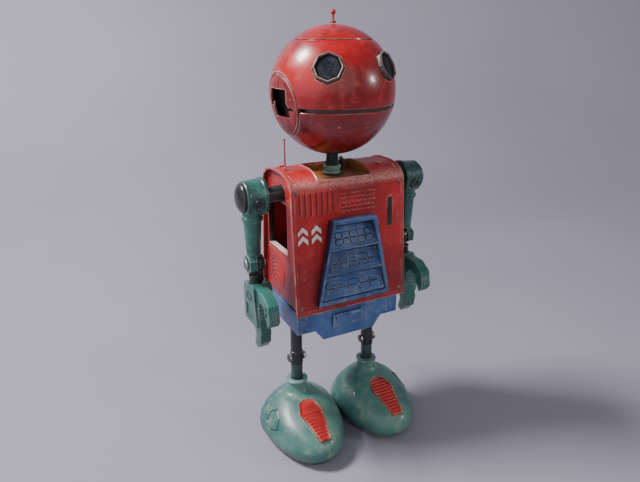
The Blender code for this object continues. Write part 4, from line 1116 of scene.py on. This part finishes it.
# ---- legs ------------------------------------------------------------------------------------
FOOT = [(1.6, 18.6, 33.4, 13.6), (4.6, 21.0, 37.2, 15.8), (10.0, 22.0, 38.4, 16.9), (16.0, 20.0, 34.0, 15.4),
        (20.0, 16.8, 25.8, 13.4), (24.0, 11.4, 14.2, 10.0), (26.6, 6.4, 6.8, 6.2), (31.6, 4.6, 4.6, 4.6)]


FOOT_MOST = FOOT[2][1:]
TREAD_RIBS = 13
KNEE_Z = 46.6


def foot_levels():
    """The foot's outline sizes, smoothed up its height, kept inside the plain ones."""
    return [(level[0], *map(min, level[1:], FOOT_MOST)) for level in smooth_line(FOOT, 10)]


def foot_ring(x, level, inset, steps=120):
    z, half, front, back = level
    points = []
    for a in [2 * pi * i / steps for i in range(steps)]:
        reach = front if sin(a) > 0 else back
        points.append(Vector((x + (half - inset) * cos(a), LEG_Y - (reach - inset) * sin(a), z)))
    return points


def on_dome(x, side, levels, turn, z):
    """A point on the dome's outer side at height z, turned towards the toe by the given angle."""
    heights = [level[0] for level in levels]
    half, front = (float(np.interp(z, heights, [level[k] for level in levels])) for k in (1, 2))
    return Vector((x + side * half * cos(turn), LEG_Y + front * sin(turn), z))


def wire(path, radius, steps=8):
    """A thin round bead along a line of points."""
    loops = []
    for i, point in enumerate(path):
        ahead = (path[min(i + 1, len(path) - 1)] - path[max(i - 1, 0)]).normalized()
        a = ahead.cross(Vector((0, 0, 1)) if abs(ahead.z) < 0.9 else Vector((1, 0, 0))).normalized()
        b = ahead.cross(a)
        turns = [2 * pi * k / steps for k in range(steps)]
        loops.append([point + radius * (a * cos(t) + b * sin(t)) for t in turns])
    return loft(loops)


def toe_outline(x, width, lift):
    half = [(0, -12.2, 25.0), (4.2 + width, -14.0, 24.6), (6.4 + width, -20.5, 22.9),
            (3.0 + width, -37.6, 16.6)]
    corners = half + [(-px, py, pz) for px, py, pz in half[:0:-1]]
    return [Vector((x + px, py, pz + lift)) for px, py, pz in corners]


def legs():
    """Both legs: domed foot with its sole and ridged toe plate, ankle ring, shank, knee sleeve and pin."""
    for side, name in SIDES:
        x = side * LEG_X
        body = f"leg_{name}"
        levels = foot_levels()
        hem = [(0.9, 19.2, 34.2, 14.2), (1.3, 19.35, 34.35, 14.35), (1.8, 19.3, 34.3, 14.3)]
        outer = [foot_ring(x, level, 0) for level in hem + levels[1:]]
        inner = [foot_ring(x, level, 1.0) for level in levels[:-28:3]]
        bore = LEG_R + 0.3
        neck = [foot_ring(x, (31.6, bore, bore, bore), 0), foot_ring(x, (23.0, bore, bore, bore), 0)]
        bottom = [foot_ring(x, (0.9, 18.4, 33.4, 13.4), 0)]
        loops = outer + neck + inner[::-1] + bottom
        shell = loft(loops + [loops[0]], caps=False)
        toe_cut = slab(toe_outline(x, 0.3, -1.5), toe_outline(x, 0.3, 4))
        piece(f"foot_dome_{name}", shell, FOOT_GREEN, body, [f"foot_{name}"], cuts=[toe_cut],
              angle=40)
        sole = [foot_ring(x, level, 0) for level in
                ((0, 17.2, 31.6, 12.2), (0.3, 17.6, 32.0, 12.6), (1.1, 17.6, 32.0, 12.6),
                 (1.3, 17.4, 31.8, 12.4))]
        piece(f"foot_sole_{name}", loft(sole), BLACK, body, [f"sole_{name}"])

        # ridged tread plate down the toe, pressed between a back and a front edge
        us = lines(-1.0, 1.0, 0.03)
        vs = lines(0.0, 1.0, 0.007)
        track = np.array([(-12.4, 24.97, 1.6), (-14.0, 24.6, 4.2), (-20.5, 22.9, 6.4), (-37.5, 16.63, 3.0)])
        reach = np.concatenate([[0], np.cumsum(np.hypot(np.diff(track[:, 0]), np.diff(track[:, 1])))])

        def surface(u, v, x=x):
            s = v * reach[-1]
            w = np.interp(s, reach, track[:, 2]) - 0.05
            y, z = (np.interp(s, reach, track[:, k]) for k in (0, 1))
            return np.stack([x + u * w, y, z], axis=-1)

        def press(u, v):
            s = v * reach[-1]
            w = np.interp(s, reach, track[:, 2])
            across = (1 - np.abs(u)) * w
            ribs = 0.5 + 0.5 * np.cos(2 * pi * s / (reach[-1] / TREAD_RIBS) + pi)
            h = -0.75 + 0.62 * ribs * np.clip((across - 0.7) / 0.35, 0, 1)
            rim = plateau(across - 0.45, 0.3, 0.7)
            end = plateau(np.minimum(s, reach[-1] - s) - 0.4, 0.3, 0.7)
            return np.minimum(np.maximum(h, -0.75 + np.maximum(rim, end)), -0.03)

        sheet = pressed_sheet(surface, us, vs, press, 1.15, outwards=-1)
        piece(f"toe_tread_{name}", sheet, RED_TOE, body, [f"toe_plate_{name}"], angle=30)

        knee = [(0, -5.0), (1.8, -5.0), (2.2, -4.6), (2.2, -3.6), (1.2, -3.6)]
        knee = [(r, x + reach_x) for r, reach_x in knee] + [(r, x - reach_x) for r, reach_x in knee[::-1]]
        knee_at = (0, LEG_Y, KNEE_Z)
        piece(f"knee_pin_{name}", turned(knee, knee_at, "x", 48), STEEL, body, [f"knee_bolt_{name}"],
              lining=(BLACK, lambda centre, normal: abs(normal.x) > 0.6))
        shank = turned([(LEG_R - 0.3, 33.4), (LEG_R + 0.06, 33.4), (LEG_R + 0.06, 42.3), (LEG_R - 0.3, 42.3)],
                       (x, LEG_Y, 0), steps=64)
        piece(f"shank_{name}", shank, DARK_TEAL, body, bevel=0.04)
        collar = [(LEG_R + 0.3, 32.0), (5.5, 32.0), (5.8, 32.2), (5.9, 32.7), (5.8, 33.2), (5.5, 33.4),
                  (LEG_R + 0.3, 33.4)]
        piece(f"ankle_ring_{name}", turned(collar, (x, LEG_Y, 0), steps=64), PALE_GREEN, body,
              [f"ankle_collar_{name}"])
        # flattened sleeve round the knee pin
        sleeve = turned([(3.2, 42.4), (3.45, 42.6), (3.55, 44.0), (3.55, 49.4), (3.45, 50.6), (3.2, 50.8)],
                        (x, LEG_Y, 0), steps=64)
        piece(f"knee_sleeve_{name}", sleeve, BLACK, body,
              cuts=[rod(1.5, x - 6, x + 6, knee_at, "x", 32)])
        # six-sided line scribed on the dome's outer front
        angles = [pi / 6 + pi / 3 * k for k in range(7)]
        corners = [(-0.28 + 0.17 * cos(a), 16.9 + 4.2 * sin(a)) for a in angles]
        for k, ((turn0, z0), (turn1, z1)) in enumerate(zip(corners, corners[1:])):
            path = [on_dome(x, side, levels, turn0 + (turn1 - turn0) * t / 6, z0 + (z1 - z0) * t / 6)
                    for t in range(7)]
            piece(f"foot_line_{name}_{k}", wire(path, 0.30), LINE, body)


# ---- what stays as the CAD made it -----------------------------------------------------------
def clockwork():
    for row in frame["record"]["subparts"]:
        node = frame["nodes"][row["node"]]
        if not node.hide_render:
            node.data.materials.clear()
            node.data.materials.append(PAINTS[row["material_slot"]][0])
            soften = node.modifiers.new("soft edges", "BEVEL")
            soften.width = 0.1 * MM
            soften.segments = 2
            soften.limit_method = "ANGLE"


# ---- stage -----------------------------------------------------------------------------------
def stage():
    """A pale seamless sweep and soft studio light."""
    profile = [(-0.9, 0.0), (0.34, 0.0)] + [(0.34 + 0.35 * sin(a), 0.35 - 0.35 * cos(a))
                                           for a in [pi / 2 * i / 24 for i in range(1, 25)]] + [(0.69, 1.6)]
    bm = bmesh.new()
    rows = [[bm.verts.new((x, y, z)) for y, z in profile] for x in (-1.6, 1.6)]
    for i in range(len(profile) - 1):
        bm.faces.new((rows[0][i], rows[1][i], rows[1][i + 1], rows[0][i + 1]))
    turn = Matrix.Rotation(-0.35, 4, "Z")
    bmesh.ops.transform(bm, matrix=turn, verts=bm.verts)
    mesh = bpy.data.meshes.new("sweep")
    bm.to_mesh(mesh)
    bm.free()
    floor = bpy.data.objects.new("sweep", mesh)
    bpy.context.collection.objects.link(floor)
    n = Nodes("studio paper")
    tone = n.mix(n.ramp(n.noise(3, 3, 0.5, 3.0), 0.3, 0.7), (0.27, 0.255, 0.32), (0.30, 0.285, 0.35))
    height = n.noise(900, 3, 0.6, 4.0)
    floor.data.materials.append(n.finish(tone, n.math("ADD", 0.62, 0.0), n.bump(height, 0.1, 0.0001)))
    mesh.shade_smooth()

    world = bpy.data.worlds.new("studio")
    bpy.context.scene.world = world
    world.use_nodes = True
    world.node_tree.nodes["Background"].inputs["Color"].default_value = (0.74, 0.75, 0.82, 1)
    world.node_tree.nodes["Background"].inputs["Strength"].default_value = 0.24

    def lamp(name, power, size, place, target=(0, 0, 0.11), colour=(1, 1, 1)):
        light = bpy.data.lights.new(name, "AREA")
        light.shape = "RECTANGLE"
        light.size, light.size_y = size
        light.energy = power
        light.color = colour
        obj = bpy.data.objects.new(name, light)
        obj.location = place
        obj.rotation_euler = (Vector(target) - Vector(place)).to_track_quat("-Z", "Y").to_euler()
        bpy.context.collection.objects.link(obj)

    lamp("back left", 19.0, (0.24, 0.24), (-0.56, 0.30, 0.92), colour=(1, 0.98, 0.97))
    lamp("left", 3.4, (1.2, 0.9), (-1.05, -0.30, 0.50), colour=(0.93, 0.95, 1))
    lamp("front", 4.2, (1.5, 1.1), (-0.35, -1.15, 0.75), colour=(1, 0.98, 0.96))
    lamp("front right", 2.6, (0.12, 0.12), (0.78, -0.66, 0.50), colour=(1, 0.97, 0.95))

    camera = bpy.data.objects.new("camera", bpy.data.cameras.new("camera"))
    camera.data.lens = 30.74
    camera.data.sensor_width = 36
    camera.data.clip_start = 0.01
    camera.location = Vector((HEAD_R * -4.2964, HEAD_R * -7.9075, HEAD.z + HEAD_R * 0.8783)) * MM
    camera.rotation_euler = Euler((math.radians(69.09), 0, -0.4755))
    bpy.context.collection.objects.link(camera)
    bpy.context.scene.camera = camera


head()
torso()
torso_slot()
chevrons()
side_panels()
top_parts()
chest()
pelvis()
arms()
legs()
clockwork()
stage()
